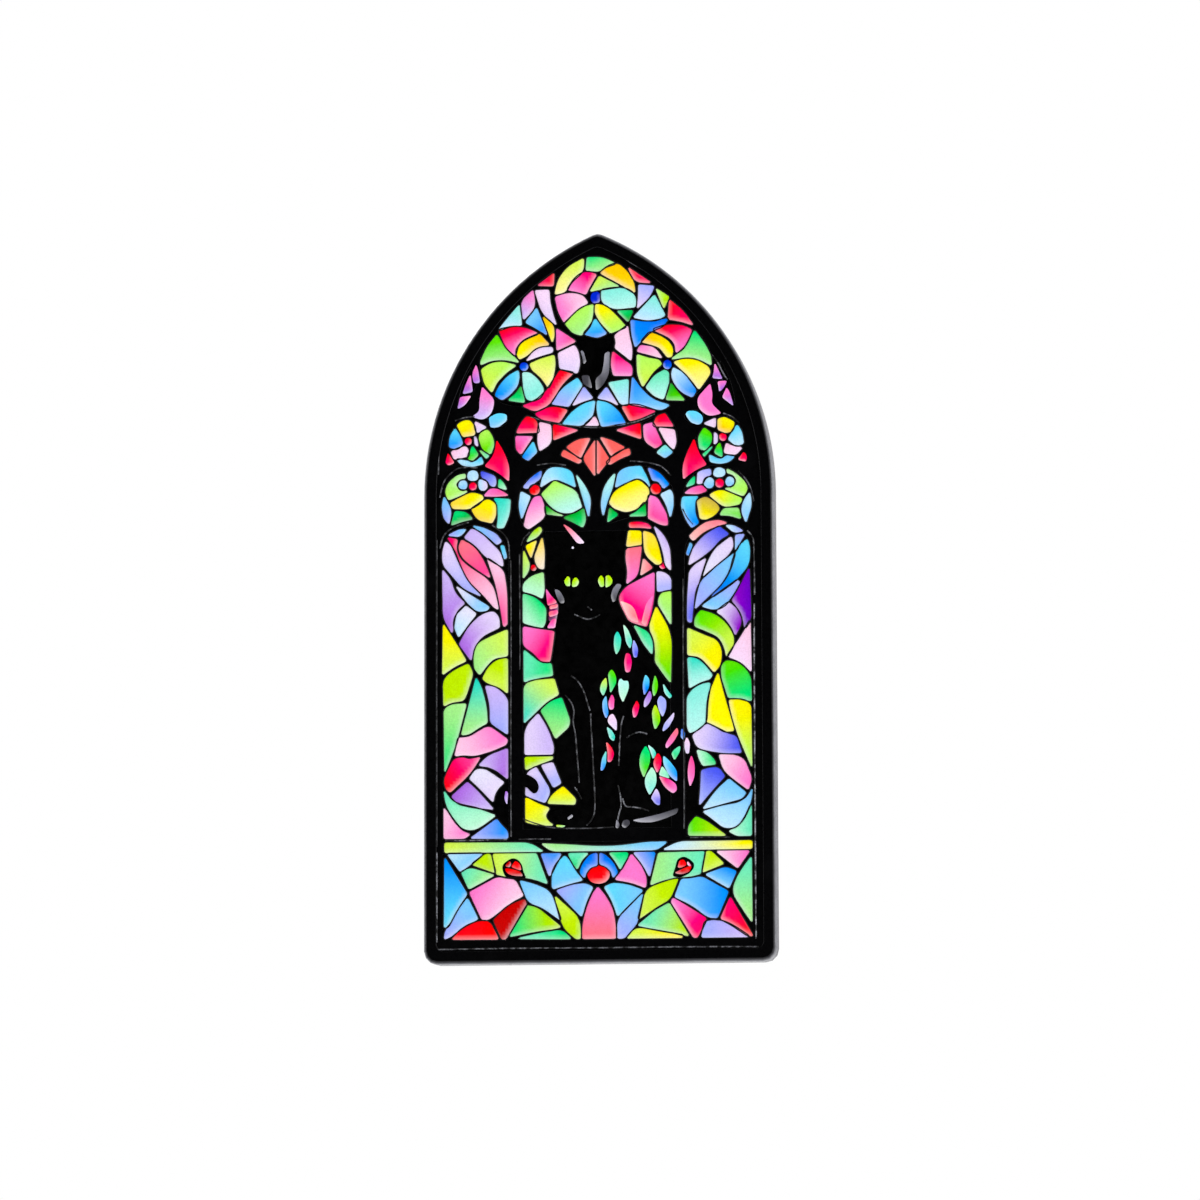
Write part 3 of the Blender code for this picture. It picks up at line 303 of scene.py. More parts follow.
    # The cat's long grey pane along the bottom of its tail, from 2.3,9.6 to 5.4,10.38, is a painted highlight.
    "cat": """
        ~coral blush 300 | -2.4,29.9 -1.9,29.6 -1.4,29.1 -0.95,28.6 -1.4,28.55 -1.9,29.2
        ~pearl pearl 0 | -1.83,28.28 -1.75,28.36 -1.67,28.28 -1.75,28.2
        ~lime softlime 270 | -2.35,26.0 -2.1,26.33 -1.97,26.2 -1.95,25.65 -2.2,25.68
        ~lime softlime 270 | -1.75,26.05 -1.55,26.25 -1.33,26.0 -1.45,25.65 -1.8,25.58
        ~lime softlime 270 | -0.05,26.0 0.18,26.35 0.35,26.15 0.37,25.6 0.15,25.55
        ~lime softlime 270 | 0.52,26.3 0.75,26.32 0.97,26.0 0.85,25.68 0.5,25.5
        ~grey darkgrey 300 | -3.0,25.45 -2.7,25.35 -2.4,24.9 -2.35,24.5 -2.62,24.5 -2.85,24.95
        ~grey darkgrey 270 | 1.3,25.75 1.58,25.65 1.32,25.2 1.15,24.6 1.0,24.5 0.86,24.9 1.0,25.4
        ~plum plum 0 | -3.35,24.4 -2.8,24.5 -2.78,24.0 -2.95,23.2 -3.4,23.3
        ~pink hotpink 300 | -3.6,25.5 -3.3,25.05 -2.85,24.55 -3.1,24.4 -3.48,24.35
        +~coral coral 0 | -3.35,24.3 -2.82,24.42 -2.8,24.2 -3.32,24.08
        +~coral rose 0 | -3.4,23.9 -2.8,24.02 -2.8,23.72 -3.35,23.55
        +~rose pink 270 | -3.2,23.35 -2.9,23.45 -3.0,22.8 -3.52,22.8
        ~teal mint 270 | 1.3,22.5 1.55,22.0 1.45,21.3 1.2,20.9 1.05,21.5 1.1,22.2
        ~palemint teal 270 | 1.7,22.95 2.0,22.6 2.3,21.8 2.15,21.3 1.9,21.7
        ~periwinkle indigo 270 | 2.4,21.9 2.7,21.3 2.6,20.7 2.42,20.7 2.3,21.3
        ~hotpink rose 270 | 1.9,21.0 2.15,20.9 2.27,20.3 2.1,19.7 1.85,19.7 1.75,20.4
        ~yellowgreen mint 270 | 0.5,19.35 0.57,18.7 0.3,18.1 0.08,18.5 0.2,19.0
        ~leaf green 270 | 0.9,19.9 1.15,19.5 1.2,19.0 0.8,18.3 0.75,18.8 0.65,19.6
        ~paleaqua palemint 270 | 1.5,19.28 1.7,19.05 2.0,19.1 2.05,18.6 1.65,17.65 1.4,18.2 1.35,19.0
        ~sky blue 270 | 0.5,18.1 0.57,17.4 0.65,16.9 0.5,16.55 0.3,17.0 0.25,17.7
        ~rose pink 270 | 0.9,18.2 1.05,17.9 1.0,17.2 0.75,17.15 0.65,17.6
        ~blush palelav 300 | 0.95,16.88 1.22,16.4 1.2,15.7 0.6,16.3 0.7,16.7
        ~aqua teal 270 | 0.55,15.98 0.9,15.7 1.1,15.3 1.0,15.0 0.75,15.2
        ~red hotpink 270 | 0.5,14.95 0.85,14.6 1.05,14.1 0.8,13.6 0.6,13.6 0.62,14.2
        ~aqua blue 250 | 0.5,14.35 0.47,13.5 0.3,13.1 0.12,13.0 0.2,13.8
        ~red rose 250 | 2.6,17.75 2.77,17.4 2.6,16.75 2.4,16.55 2.27,17.1
        ~cyan strongblue 270 | 3.2,19.5 3.45,19.2 3.42,18.6 3.1,18.1 3.0,18.8
        ~leaf leaf 270 | 3.85,19.45 4.05,18.9 3.95,18.3 3.75,18.0 3.65,18.6
        ~violet lavender 240 | 3.5,18.4 3.62,18.0 3.4,17.5 3.1,17.25 3.1,17.7
        ~aqua teal 320 | 4.4,18.85 4.7,18.4 5.0,18.0 4.85,17.85 4.5,18.2
        ~periwinkle periwinkle 270 | 4.2,18.05 4.57,17.8 4.6,17.2 4.35,16.6 4.1,17.1 4.0,17.7
        ~lime leaf 270 | 3.85,17.45 4.1,17.0 4.2,16.3 3.85,15.75 3.7,16.2 3.65,17.0
        ~palelav periwinkle 240 | 5.15,16.9 5.1,16.5 4.75,15.9 4.35,15.6 4.45,16.1
        ~coral pink 240 | 5.35,15.85 5.42,15.5 5.1,14.9 4.6,14.45 4.55,14.7 4.9,15.3
        ~strongblue blue 270 | 5.65,15.8 5.87,15.5 5.8,15.0 5.6,15.2
        ~blush palelav 270 | 6.0,15.2 6.2,14.8 6.12,14.1 5.95,14.1 5.8,14.7
        ~mint green 250 | 5.55,14.6 5.5,14.2 5.15,13.65 4.95,14.1 5.2,14.4
        ~green leaf 270 | 3.2,14.65 3.5,14.1 3.45,13.5 3.05,12.5 2.75,13.3 2.85,14.1
        ~paleaqua teal 300 | 3.35,14.72 3.75,14.4 3.9,14.1 3.7,13.75
        ~red hotpink 270 | 4.05,14.15 4.25,13.8 4.2,13.2 3.95,12.8 3.7,13.4 3.85,13.9
        ~cyan blue 310 | 4.4,13.95 4.8,13.6 5.32,12.9 5.3,12.2 4.8,12.6 4.4,13.4
        ~palemint aqua 270 | 3.6,13.2 3.87,12.8 3.92,12.1 3.45,11.3 3.15,11.9 3.15,12.5
        ~palemint mint 300 | 4.3,13.25 4.7,12.75 4.8,12.42 4.1,12.65
        ~hotpink pink 320 | 4.1,12.55 4.8,12.35 5.25,12.0 5.3,11.6 5.05,11.4 4.5,11.8
        ~palelav indigo 280 | 3.9,11.75 4.15,11.3 4.12,10.6 3.85,10.7 3.55,11.1
        ~rose pink 270 | 6.3,13.95 6.5,13.4 6.5,12.5 6.2,11.85 6.05,12.6 6.12,13.4
        ~darkgrey grey 190 | 2.3,9.6 3.3,9.8 4.2,10.0 5.4,10.38 5.3,10.05 4.5,9.72 3.6,9.45 2.7,9.5
        ~darkgrey darkgrey 200 | 1.65,9.6 2.0,9.65 2.1,9.4 1.8,9.1 1.55,9.2
        ~grey darkgrey 270 | 1.2,9.7 1.38,9.3 1.3,9.1 1.13,9.12
        ~grey grey 0 | -2.15,9.83 -1.85,10.06 -1.8,9.92 -2.1,9.72
        ~lime lightgreen 0 | -2.9,9.35 -2.3,9.3 -2.5,9.2 -2.9,9.25
        ++~black black 0 | -5.3,12.87 -4.75,12.75 -4.27,12.4 -4.1,11.95 -4.25,11.6 -4.45,11.52 -4.68,11.7 -4.9,11.95
            -5.3,12.1
    """,
    "left_foil": """
        lightgreen softlime 250 | -9.15,33.5 -9.7,33.4 -10.3,32.9 -10.53,32.3 -10.3,31.75 -9.6,32.0 -9.0,32.3
            -9.6,32.35 -9.85,32.8 -9.6,33.15 -9.15,33.22
        palesky sky 300 | -9.6,32.75 -9.5,32.98 -9.3,33.05 -9.1,32.98 -9.02,32.75 -9.1,32.52 -9.3,32.43 -9.5,32.52
        palesky palesky 0 | -8.98,33.4 -8.9,33.62 -8.6,33.72 -8.35,33.62 -8.25,33.35 -8.35,33.1 -8.65,33.05
            -8.92,33.12
        palesky palelav 0 | -8.2,33.05 -7.85,33.05 -7.65,32.8 -7.65,32.5 -7.85,32.35 -8.1,32.4 -8.2,32.62
        red hotpink 270 | -8.85,32.65 -8.77,32.82 -8.6,32.88 -8.44,32.8 -8.38,32.62 -8.46,32.46 -8.63,32.4 -8.8,32.47
        indigo periwinkle 300 | -8.05,33.65 -7.6,33.5 -7.1,33.3 -7.03,32.9 -7.1,32.6 -7.4,32.67 -7.52,33.0 -8.0,33.25
        green palemint 300 | -6.8,33.1 -6.5,32.8 -6.3,32.37 -6.85,32.55
        pink rose 0 | -7.4,32.45 -6.9,32.4 -6.2,31.98 -7.1,31.93 -7.85,31.98
        gold sun 330 | -8.7,32.2 -8.0,32.0 -7.9,31.8 -8.3,31.4 -8.9,31.1 -10.0,31.15 -10.15,31.5 -9.3,31.95
        yellow gold 250 | -7.6,31.72 -7.05,31.4 -7.05,30.6 -7.3,30.1 -8.3,30.35 -8.7,31.05 -8.0,31.5
        teal aqua 300 | -7.15,31.77 -6.05,31.67 -6.1,30.7 -6.5,29.75 -6.95,29.75 -6.85,30.4 -6.88,31.35
        green darkgreen 300 | -9.85,30.92 -9.1,30.85 -8.65,30.4 -9.3,30.28 -10.1,30.0
        sky periwinkle 270 | -10.6,31.95 -10.1,31.0 -10.28,30.1 -10.62,30.5 -10.75,31.3
    """,
    "right_foil": """
        lightgreen softlime 290 | 8.85,33.45 9.4,33.15 10.0,32.6 10.25,32.1 9.95,31.6 9.3,31.85 8.7,32.1 9.3,32.2
            9.55,32.6 9.35,33.05 8.85,33.22
        palesky sky 270 | 7.28,32.55 7.38,32.8 7.65,32.9 7.9,32.75 7.93,32.45 7.8,32.22 7.55,32.2 7.35,32.32
        palesky palesky 0 | 7.93,33.2 8.05,33.5 8.35,33.55 8.68,33.4 8.68,33.1 8.5,32.97 8.15,32.95 7.95,33.05
        palesky sky 240 | 8.75,32.6 8.85,32.85 9.05,32.9 9.25,32.8 9.3,32.55 9.2,32.35 9.0,32.28 8.82,32.38
        red hotpink 270 | 8.05,32.5 8.14,32.7 8.33,32.78 8.52,32.7 8.6,32.5 8.52,32.3 8.33,32.22 8.14,32.3
        periwinkle palelav 240 | 6.85,33.25 7.3,33.42 7.7,33.47 7.75,33.12 7.35,32.95 7.1,32.5 6.8,32.5
        green mint 240 | 6.62,33.0 6.6,32.5 6.05,32.3 6.3,32.7
        pink rose 0 | 7.12,32.37 7.45,32.02 6.9,31.8 5.95,31.87 6.4,32.2
        yellow softlime 330 | 8.6,31.98 9.85,31.4 9.7,31.05 8.7,30.88 8.2,31.2 7.65,31.7 8.1,31.95
        khaki yellow 250 | 7.35,31.6 8.1,31.1 8.3,30.75 8.0,30.35 7.4,30.05 7.0,30.1 6.8,31.3
        cyan blue 290 | 6.85,31.6 6.62,31.35 6.6,30.5 6.87,29.8 6.4,29.5 6.0,30.1 5.7,31.0 5.8,31.6
        lightgreen leaf 270 | 8.6,30.75 9.6,30.75 9.75,30.05 9.0,30.3 8.35,30.33
        palesky sky 240 | 10.38,31.8 10.5,31.0 10.12,29.8 9.8,30.6 10.0,31.3
    """,
    "left_small_rose": """
        sun gold 300 | -9.7,36.9 -9.3,37.15 -8.85,37.2 -8.5,36.7 -8.5,36.2 -9.3,36.1
        cyan blue 270 | -9.85,36.65 -9.5,36.1 -9.33,35.6 -9.75,35.25 -10.25,35.4 -10.2,36.1
        blush palelav 300 | -8.47,37.1 -7.7,36.7 -8.3,36.35 -8.4,36.6
        ~red hotpink 270 | -9.18,35.8 -9.05,35.98 -8.85,36.0 -8.72,35.85 -8.75,35.6 -8.95,35.5 -9.12,35.6
        softlime leaf 300 | -7.6,36.5 -7.3,36.1 -7.15,35.5 -7.4,34.85 -7.95,35.2 -8.2,36.0 -8.0,36.4
        palepink blush 330 | -9.15,35.4 -8.95,35.2 -8.95,34.75 -9.9,34.55 -10.12,35.05
        green leaf 270 | -8.65,35.42 -8.25,34.8 -8.7,34.4 -8.95,34.6 -8.8,35.0
        palesky cyan 0 | -9.7,34.5 -9.1,34.4 -8.5,34.25 -8.05,34.65 -7.9,34.2 -8.7,34.0 -9.4,34.15
        ~red hotpink 270 | -10.35,34.97 -9.9,34.3 -10.3,34.13 -10.5,34.3
        palelav palelav 0 | -8.5,36.1 -8.35,35.9 -8.28,35.4 -8.47,35.55
        lightgreen mint 0 | -8.15,35.12 -7.5,34.72 -7.7,34.55
    """,
    "right_small_rose": """
        amber sun 60 | 8.25,36.9 8.7,37.02 9.35,36.65 9.2,36.1 8.8,35.95 8.25,36.2
        cyan palesky 300 | 9.55,36.47 9.85,36.0 9.97,35.2 9.5,35.05 8.95,35.5 9.3,36.1
        palelav blush 0 | 7.3,36.62 8.07,36.97 8.05,36.35
        ~red hotpink 270 | 8.3,35.7 8.42,35.9 8.65,35.92 8.82,35.75 8.78,35.5 8.6,35.4 8.4,35.48
        leaf green 250 | 7.3,36.32 7.8,35.9 7.77,35.3 7.35,34.8 7.0,34.9 6.88,35.7
        palepink blush 300 | 8.8,35.22 9.2,35.0 9.87,34.9 9.42,34.4 8.65,34.6
        leaf green 270 | 8.35,35.27 8.5,34.7 8.5,34.3 8.0,34.6 8.15,35.0
        cyan sky 0 | 7.65,34.45 8.1,34.2 8.5,34.1 8.8,34.37 9.35,34.3 8.95,33.95 8.3,33.85 7.7,34.0
        ~red hotpink 270 | 10.0,34.62 10.2,34.3 10.12,33.95 9.6,34.1
        palelav palelav 0 | 8.0,36.0 8.2,35.8 8.17,35.3 7.98,35.2
        green mint 30 | 7.85,35.02 7.3,34.37 7.2,34.5
    """,
    "left_red_spandrel": """
        ~red hotpink 270 | -6.97,35.78 -6.45,34.9 -6.1,33.9 -6.15,32.95 -6.9,33.6 -7.8,34.02 -7.15,34.75
    """,
    "right_red_spandrel": """
        ~red hotpink 270 | 6.6,35.58 6.9,34.6 7.45,33.8 6.5,33.35 5.85,32.83 5.8,33.7 6.1,34.6
    """,
    "left_bud": """
        ~cyan sky 250 | -7.5,37.35 -6.9,37.67 -6.3,37.55 -6.28,37.15 -6.9,36.68 -7.4,36.7
    """,
    "right_bud": """
        ~cyan sky 290 | 6.02,37.3 6.2,37.5 6.7,37.5 7.15,37.2 7.2,36.8 6.95,36.55 6.4,36.7
    """,
    "left_petal": """
        ~pink lavender 260 | -7.97,39.5 -7.6,39.1 -7.13,38.6 -7.3,37.7 -7.9,37.2 -8.65,37.45 -8.15,37.8 -8.15,38.6
    """,
    "right_petal": """
        ~pink pink 280 | 7.72,39.35 7.87,38.6 7.77,38.0 8.45,37.3 7.6,37.1 6.9,37.7 6.85,38.4 7.3,38.9
    """,
    "left_shards": """
        ~pink violet 290 | -8.4,41.05 -8.25,40.6 -8.15,39.8 -8.55,39.8 -8.67,40.4
        ~pink violet 270 | -8.8,40.35 -8.65,39.2 -9.32,39.05 -9.1,39.7
        ~pink violet 240 | -8.75,38.9 -9.5,38.82 -9.67,38.03 -9.2,38.25
    """,
    "right_shards": """
        ~pink violet 270 | 8.05,40.75 8.55,39.68 7.88,39.75 8.0,40.2
        ~pink violet 290 | 8.25,39.5 8.85,39.52 8.65,39.1 8.35,38.8
        ~pink violet 290 | 8.85,39.07 9.05,38.7 9.3,37.8 8.55,38.4
    """,
    "left_arch_spandrel": """
        red hotpink 250 | -4.9,37.37 -4.25,37.15 -4.1,36.3 -5.6,36.27 -5.3,36.9
        pink rose 250 | -5.65,36.02 -4.5,35.97 -5.3,34.8 -5.6,35.1
        palepink blush 260 | -4.0,36.95 -3.25,36.75 -3.2,35.5 -4.0,35.0 -4.15,35.7
        cyan blue 240 | -4.45,35.62 -4.2,34.92 -4.8,34.35 -5.2,34.6
        red hotpink 0 | -3.05,36.77 -1.4,36.35 -3.05,35.73
    """,
    "right_arch_spandrel": """
        red hotpink 290 | 4.6,37.37 5.1,36.6 5.15,36.5 3.85,36.55 4.0,37.15
        palepink blush 300 | 4.2,36.37 5.25,36.22 5.37,35.4 5.2,34.9 4.7,35.4
        pink rose 280 | 3.15,36.6 3.75,36.75 4.4,35.3 3.95,35.0 3.2,35.5
        aqua sky 290 | 4.6,35.2 5.12,34.7 4.6,34.33 4.05,34.7
        red hotpink 180 | 1.3,36.3 2.9,36.72 2.95,35.68
    """,
    "fan": """
        salmon salmon 0 | -2.15,35.2 -1.4,35.7 -0.55,35.77 -1.2,34.45
        salmon salmon 0 | -2.52,34.65 -2.35,35.0 -1.12,34.25 -1.3,34.07
        salmon salmon 0 | -0.2,35.62 -0.95,34.5 -0.9,34.2 -0.22,33.2
        salmon salmon 0 | -0.05,35.62 0.77,34.3 0.02,33.35 -0.05,33.4
        salmon salmon 0 | 0.18,35.82 0.9,35.6 1.82,35.1 0.92,34.55
        salmon salmon 0 | 2.22,34.62 2.15,35.0 1.3,34.72 0.62,34.05 0.85,33.97 1.5,34.35
    """,
    "left_lunette": """
        strongblue periwinkle 250 | -5.15,32.5 -4.6,33.15 -3.9,33.6 -3.95,33.1 -4.4,32.8 -4.85,32.42
        red purered 270 | -4.68,32.3 -4.6,32.52 -4.38,32.62 -4.12,32.55 -4.02,32.3 -4.12,32.08 -4.35,31.98 -4.6,32.08
        palesky sky 270 | -5.3,32.2 -4.67,31.85 -5.0,31.0 -5.25,30.35 -5.45,31.2
        pink palepink 290 | -4.4,31.8 -3.95,31.85 -3.72,31.2 -3.65,30.45 -4.3,29.95 -4.8,29.63 -5.08,29.85 -4.85,30.9
        cyan palesky 200 | -3.35,33.8 -2.6,33.8 -1.8,33.55 -1.55,32.45 -2.2,32.78 -3.0,33.1 -3.95,32.5 -3.8,33.2
        softlime paleaqua 290 | -3.0,32.87 -2.2,32.5 -1.5,32.15 -1.13,31.05 -1.7,30.7 -2.6,30.7 -3.3,31.2 -3.88,32.0
        paleaqua sky 270 | -1.48,33.25 -0.9,32.5 -0.5,31.6 -0.65,30.4 -1.0,31.6
        darkgreen lightgreen 320 | -3.6,31.17 -3.0,30.7 -2.4,30.48 -3.55,30.65
        darkgreen green 300 | -1.0,30.95 -1.6,30.6 -2.35,30.35 -1.6,30.0 -1.05,29.67 -0.85,30.2
    """,
    "right_lunette": """
        sky cyan 0 | 1.2,32.37 1.4,33.4 2.0,33.72 2.95,33.77 3.4,32.9 3.55,32.37 3.05,32.85 2.7,33.0 1.9,32.72
        yellow paleyellow 290 | 2.7,32.87 3.2,32.6 3.55,32.0 3.2,31.3 2.6,30.85 1.9,30.65 1.1,30.95 0.78,31.3
            1.1,32.05 1.9,32.5
        paleaqua sky 270 | 1.17,33.3 1.0,32.4 0.6,31.4 0.35,30.45 0.2,31.2 0.4,32.3 0.8,32.95
        darkgreen green 270 | 0.8,30.95 1.35,30.48 0.65,30.0
        darkgreen green 240 | 3.2,31.25 3.27,30.38 2.15,30.38 2.7,30.65
        pink rose 240 | 3.5,31.75 4.05,31.6 4.7,30.4 4.75,29.7 4.3,29.75 3.45,30.2
        strongblue blue 300 | 3.45,33.65 4.2,33.3 4.85,32.5 4.5,32.22 4.15,32.75 3.75,32.8
        red purered 270 | 3.6,32.2 3.75,32.48 4.0,32.52 4.25,32.35 4.28,32.05 4.1,31.88 3.8,31.88
        palesky sky 270 | 4.95,32.12 4.3,31.82 4.7,31.1 4.95,30.25 5.15,31.0 5.12,31.8
    """,
    "tympanum_ground": """
        red hotpink 230 | -2.6,40.5 -1.7,40.3 -2.55,39.5 -3.3,38.2 -4.3,37.7 -5.15,38.13 -4.2,38.42 -3.4,39.2
        cyan periwinkle 250 | -1.4,39.95 -1.08,39.45 -2.0,38.02 -3.15,38.22 -2.4,39.3
        periwinkle palelav 240 | -0.95,39.32 -0.35,38.55 -1.0,38.37 -1.72,38.08
        cyan sky 300 | -0.2,38.35 -1.0,38.15 -1.8,37.6 -2.42,36.8 -1.05,36.65 -0.35,37.3
        red hotpink 240 | -4.3,37.55 -3.2,38.05 -2.1,37.75 -2.65,36.93 -3.9,37.2
        palepink blush 270 | -0.2,37.27 0.07,36.67 -0.87,36.7
        cyan blue 320 | -0.02,38.35 0.8,38.15 1.5,37.5 1.92,36.7 0.25,36.6 -0.05,37.6
        periwinkle palelav 300 | 0.6,39.27 0.0,38.55 0.8,38.37 1.38,38.03
        aqua palesky 290 | 0.75,39.57 2.1,39.77 2.05,38.05 1.58,38.1
        blue sky 300 | 2.4,39.92 2.22,38.1 3.3,37.87 4.4,37.63 4.92,37.93 3.8,38.3 3.0,39.05
        red hotpink 0 | 1.67,37.9 2.6,38.03 3.95,37.55 2.9,37.1 2.2,36.93
        blush palelav 270 | -1.6,42.22 -2.7,41.7 -2.6,40.67 -1.4,40.3 -1.22,41.0 -1.35,41.8
        pink rose 0 | -2.82,43.4 -1.52,42.5 -2.8,41.93
        hotpink pink 270 | 1.05,41.72 1.8,41.1 2.37,40.7 2.33,40.05 1.1,40.1 0.92,40.9
        palepink blush 300 | 2.07,43.47 1.2,42.85 1.3,42.3 1.2,42.0 2.3,41.1 2.37,41.9 2.17,42.7
        strongblue blue 240 | 2.3,43.87 3.4,43.65 4.85,43.9 4.5,43.45 3.6,43.1 2.6,42.02 2.38,42.8
        red hotpink 210 | -4.1,46.45 -3.0,47.25 -3.05,46.4
        pink lavender 250 | -4.45,46.1 -5.3,45.35 -5.1,44.12 -4.3,44.9
        blush palelav 290 | -4.3,46.08 -3.35,46.1 -3.3,45.2 -3.0,44.1 -2.85,43.7 -3.8,44.5
        sky blue 320 | -4.2,44.87 -4.95,43.9 -4.4,43.6 -3.5,43.02
        aqua palesky 250 | -5.4,45.1 -6.2,44.2 -6.8,43.45 -5.9,43.75 -5.25,43.72
        amber sun 280 | -3.75,44.25 -3.05,43.65 -3.0,42.95 -3.12,42.5
        red hotpink 320 | 2.15,47.5 3.65,46.45 2.6,46.53
        periwinkle palelav 250 | 2.85,46.3 3.9,46.17 3.6,45.5 2.75,44.7 2.85,45.5
        aqua palesky 250 | 3.93,45.57 2.5,44.08 3.3,43.88 4.1,43.87 4.65,44.15
        softlime lime 300 | 4.05,46.0 4.92,45.42 4.57,44.65
        red hotpink 315 | 4.97,45.2 5.9,44.4 6.55,43.45 5.8,43.72 4.87,43.9
    """,
    "left_rose": """
        leaf lightgreen 280 | -6.95,43.07 -7.6,42.3 -8.05,41.3 -8.07,41.05 -7.3,41.37 -6.3,41.38 -5.45,41.15
            -5.75,41.5 -6.35,42.0
        softlime yellowgreen 240 | -8.02,40.7 -7.4,41.1 -6.6,41.2 -5.65,40.93 -6.3,40.5 -7.0,39.8 -7.3,39.12 -7.8,39.7
        cyan blue 240 | -5.48,40.57 -6.2,40.2 -6.8,39.5 -7.07,38.9 -6.6,38.58 -6.1,38.9 -5.55,39.5 -5.42,40.1
        darkgreen green 270 | -5.3,39.47 -5.6,39.0 -6.15,38.55 -5.05,38.37
        paleaqua aqua 300 | -5.17,40.42 -4.7,40.4 -4.1,39.9 -3.7,39.2 -3.95,38.7 -4.5,38.48 -4.9,38.6 -5.1,39.3
        yellowgreen paleyellow 260 | -4.67,41.0 -4.0,41.3 -3.0,41.57 -2.93,40.9 -3.1,40.0 -3.4,39.37 -3.9,40.1
            -4.5,40.6
        blush palelav 0 | -4.9,41.25 -4.35,41.9 -3.9,42.1 -3.12,42.12 -3.1,41.8 -4.0,41.57
        sun amber 30 | -5.4,41.37 -5.62,41.9 -5.2,42.55 -4.5,42.87 -4.0,43.05 -3.35,42.32 -4.2,42.22 -4.9,41.6
        red pink 290 | -6.78,43.4 -5.8,43.6 -4.9,43.47 -4.15,43.12 -4.9,42.85 -5.5,42.45 -5.72,41.65 -6.35,42.3
        ~hub strongblue 300 | -5.38,40.85 -5.3,41.05 -5.1,41.12 -4.88,41.05 -4.78,40.85 -4.9,40.62 -5.1,40.55
            -5.3,40.65
    """,
    "right_rose": """
        green lightgreen 260 | 6.67,43.03 7.3,42.2 7.75,41.3 7.8,40.65 7.0,41.1 6.2,41.27 5.1,41.13 5.6,41.5 6.1,41.9
        yellow paleyellow 280 | 5.25,40.9 6.0,41.1 6.8,41.0 7.6,40.5 7.73,40.1 7.4,39.6 6.95,39.0 6.3,39.9
        palesky blue 310 | 5.2,40.52 5.9,40.1 6.75,38.9 6.5,38.47 5.8,38.8 5.3,39.4 5.07,40.0
        darkgreen leaf 290 | 5.02,39.45 5.4,38.9 5.95,38.27 4.7,38.33
        mint paleaqua 280 | 4.6,40.37 4.87,40.2 4.87,39.3 4.5,38.37 3.9,38.6 3.32,39.2 3.9,40.0
        softlime yellowgreen 270 | 2.72,41.47 3.5,41.2 4.2,41.07 4.4,40.8 3.8,40.3 3.1,39.27 2.75,40.1
        pink palepink 0 | 2.72,41.72 2.95,42.1 3.9,41.97 4.42,41.22 3.6,41.47
        amber sun 330 | 3.05,42.37 3.6,42.97 4.3,42.72 4.9,42.3 5.17,41.8 5.1,41.3 4.8,41.27 4.3,41.95 3.8,42.15
        red pink 290 | 3.87,43.17 4.8,43.47 5.8,43.42 6.47,43.1 6.2,42.4 5.8,41.8 5.4,41.57 5.35,42.2 4.9,42.67
        ~hub strongblue 270 | 4.5,40.75 4.58,40.97 4.78,41.07 5.0,40.97 5.08,40.75 5.0,40.52 4.78,40.43 4.58,40.53
    """,
    "top_rose": """
        yellowgreen paleyellow 250 | -0.95,48.22 -2.0,47.7 -2.7,46.8 -2.92,45.82 -2.2,45.95 -1.9,46.6 -0.97,47.4
        green lightgreen 290 | -0.7,48.28 0.3,48.28 1.2,47.85 0.5,47.65 0.13,47.33 -0.77,47.42
        amber gold 280 | 0.22,47.2 0.8,47.65 1.4,47.82 2.1,47.2 2.52,46.4 2.57,45.8 1.7,46.35 0.9,46.8
        hotpink pink 230 | -2.02,46.1 -1.5,46.9 -0.8,47.32 -0.07,47.1 -0.6,46.2 -0.8,45.75 -1.3,45.95
        yellowgreen lightgreen 300 | 0.13,46.97 1.47,46.25 0.4,46.13 -0.48,45.95
        pink palepink 30 | -2.9,45.6 -1.9,45.87 -1.0,45.65 -0.67,45.15 -1.5,44.72 -2.3,43.85 -2.7,44.6
        aqua paleaqua 280 | 0.3,45.97 1.2,46.12 2.1,46.0 2.63,45.5 2.6,44.8 1.1,44.68 0.28,45.2
        softlime lightgreen 300 | -0.3,45.02 -1.1,44.8 -2.22,43.75 -1.7,43.1 -1.1,42.93 -0.5,43.6 -0.33,44.4
        yellow softlime 290 | -0.12,45.02 0.5,44.92 1.2,44.3 1.93,43.45 0.9,43.03 0.2,43.8 -0.17,44.5
        green darkgreen 300 | 1.38,44.52 2.42,44.52 2.1,43.78
        cyan blue 280 | -0.15,44.02 0.2,43.5 0.62,43.0 0.0,42.72 -0.92,43.0 -0.55,43.4
        ~hub hub 0 | -0.47,45.5 -0.4,45.78 -0.12,45.93 0.15,45.8 0.24,45.5 0.12,45.2 -0.15,45.1 -0.4,45.22
    """,
    # The keyhole's grey panes are painted highlights on its black.
    "keyhole": """
        ~grey darkgrey 250 | 0.5,41.62 0.82,41.75 0.77,40.2 0.3,39.4 -0.1,39.1 -0.15,39.9 0.3,40.2 0.45,41.0
        ~grey darkgrey 290 | -1.17,41.85 -1.0,41.8 -0.8,41.1 -0.98,40.93 -1.03,41.4
        ~darkgrey darkgrey 0 | -1.1,40.12 -0.62,40.12 -0.4,39.25 -0.75,39.4 -1.0,39.6
    """,
}

# The regions of panes, grouped under enamel names; all take the one fired finish. Each stands for one CAD fill.
GLASS = {
    "violet_enamel": ["left_lancet", "right_lancet"],
    "green_enamel": ["left_foil", "right_foil", "left_small_rose", "right_small_rose", "left_lunette",
                     "right_lunette", "sill", "top_rose", "left_rose", "right_rose", "centre_left"],
    "ruby_enamel": ["left_red_spandrel", "right_red_spandrel", "base_jewel"],
    "blue_enamel": ["left_bud", "right_bud", "base_panel"],
    "rose_enamel": ["left_petal", "right_petal", "left_shards", "right_shards", "left_arch_spandrel",
                    "right_arch_spandrel", "tympanum_ground", "centre_right"],
    "coral_enamel": ["fan"],
    "black_enamel": ["keyhole", "cat"],
}
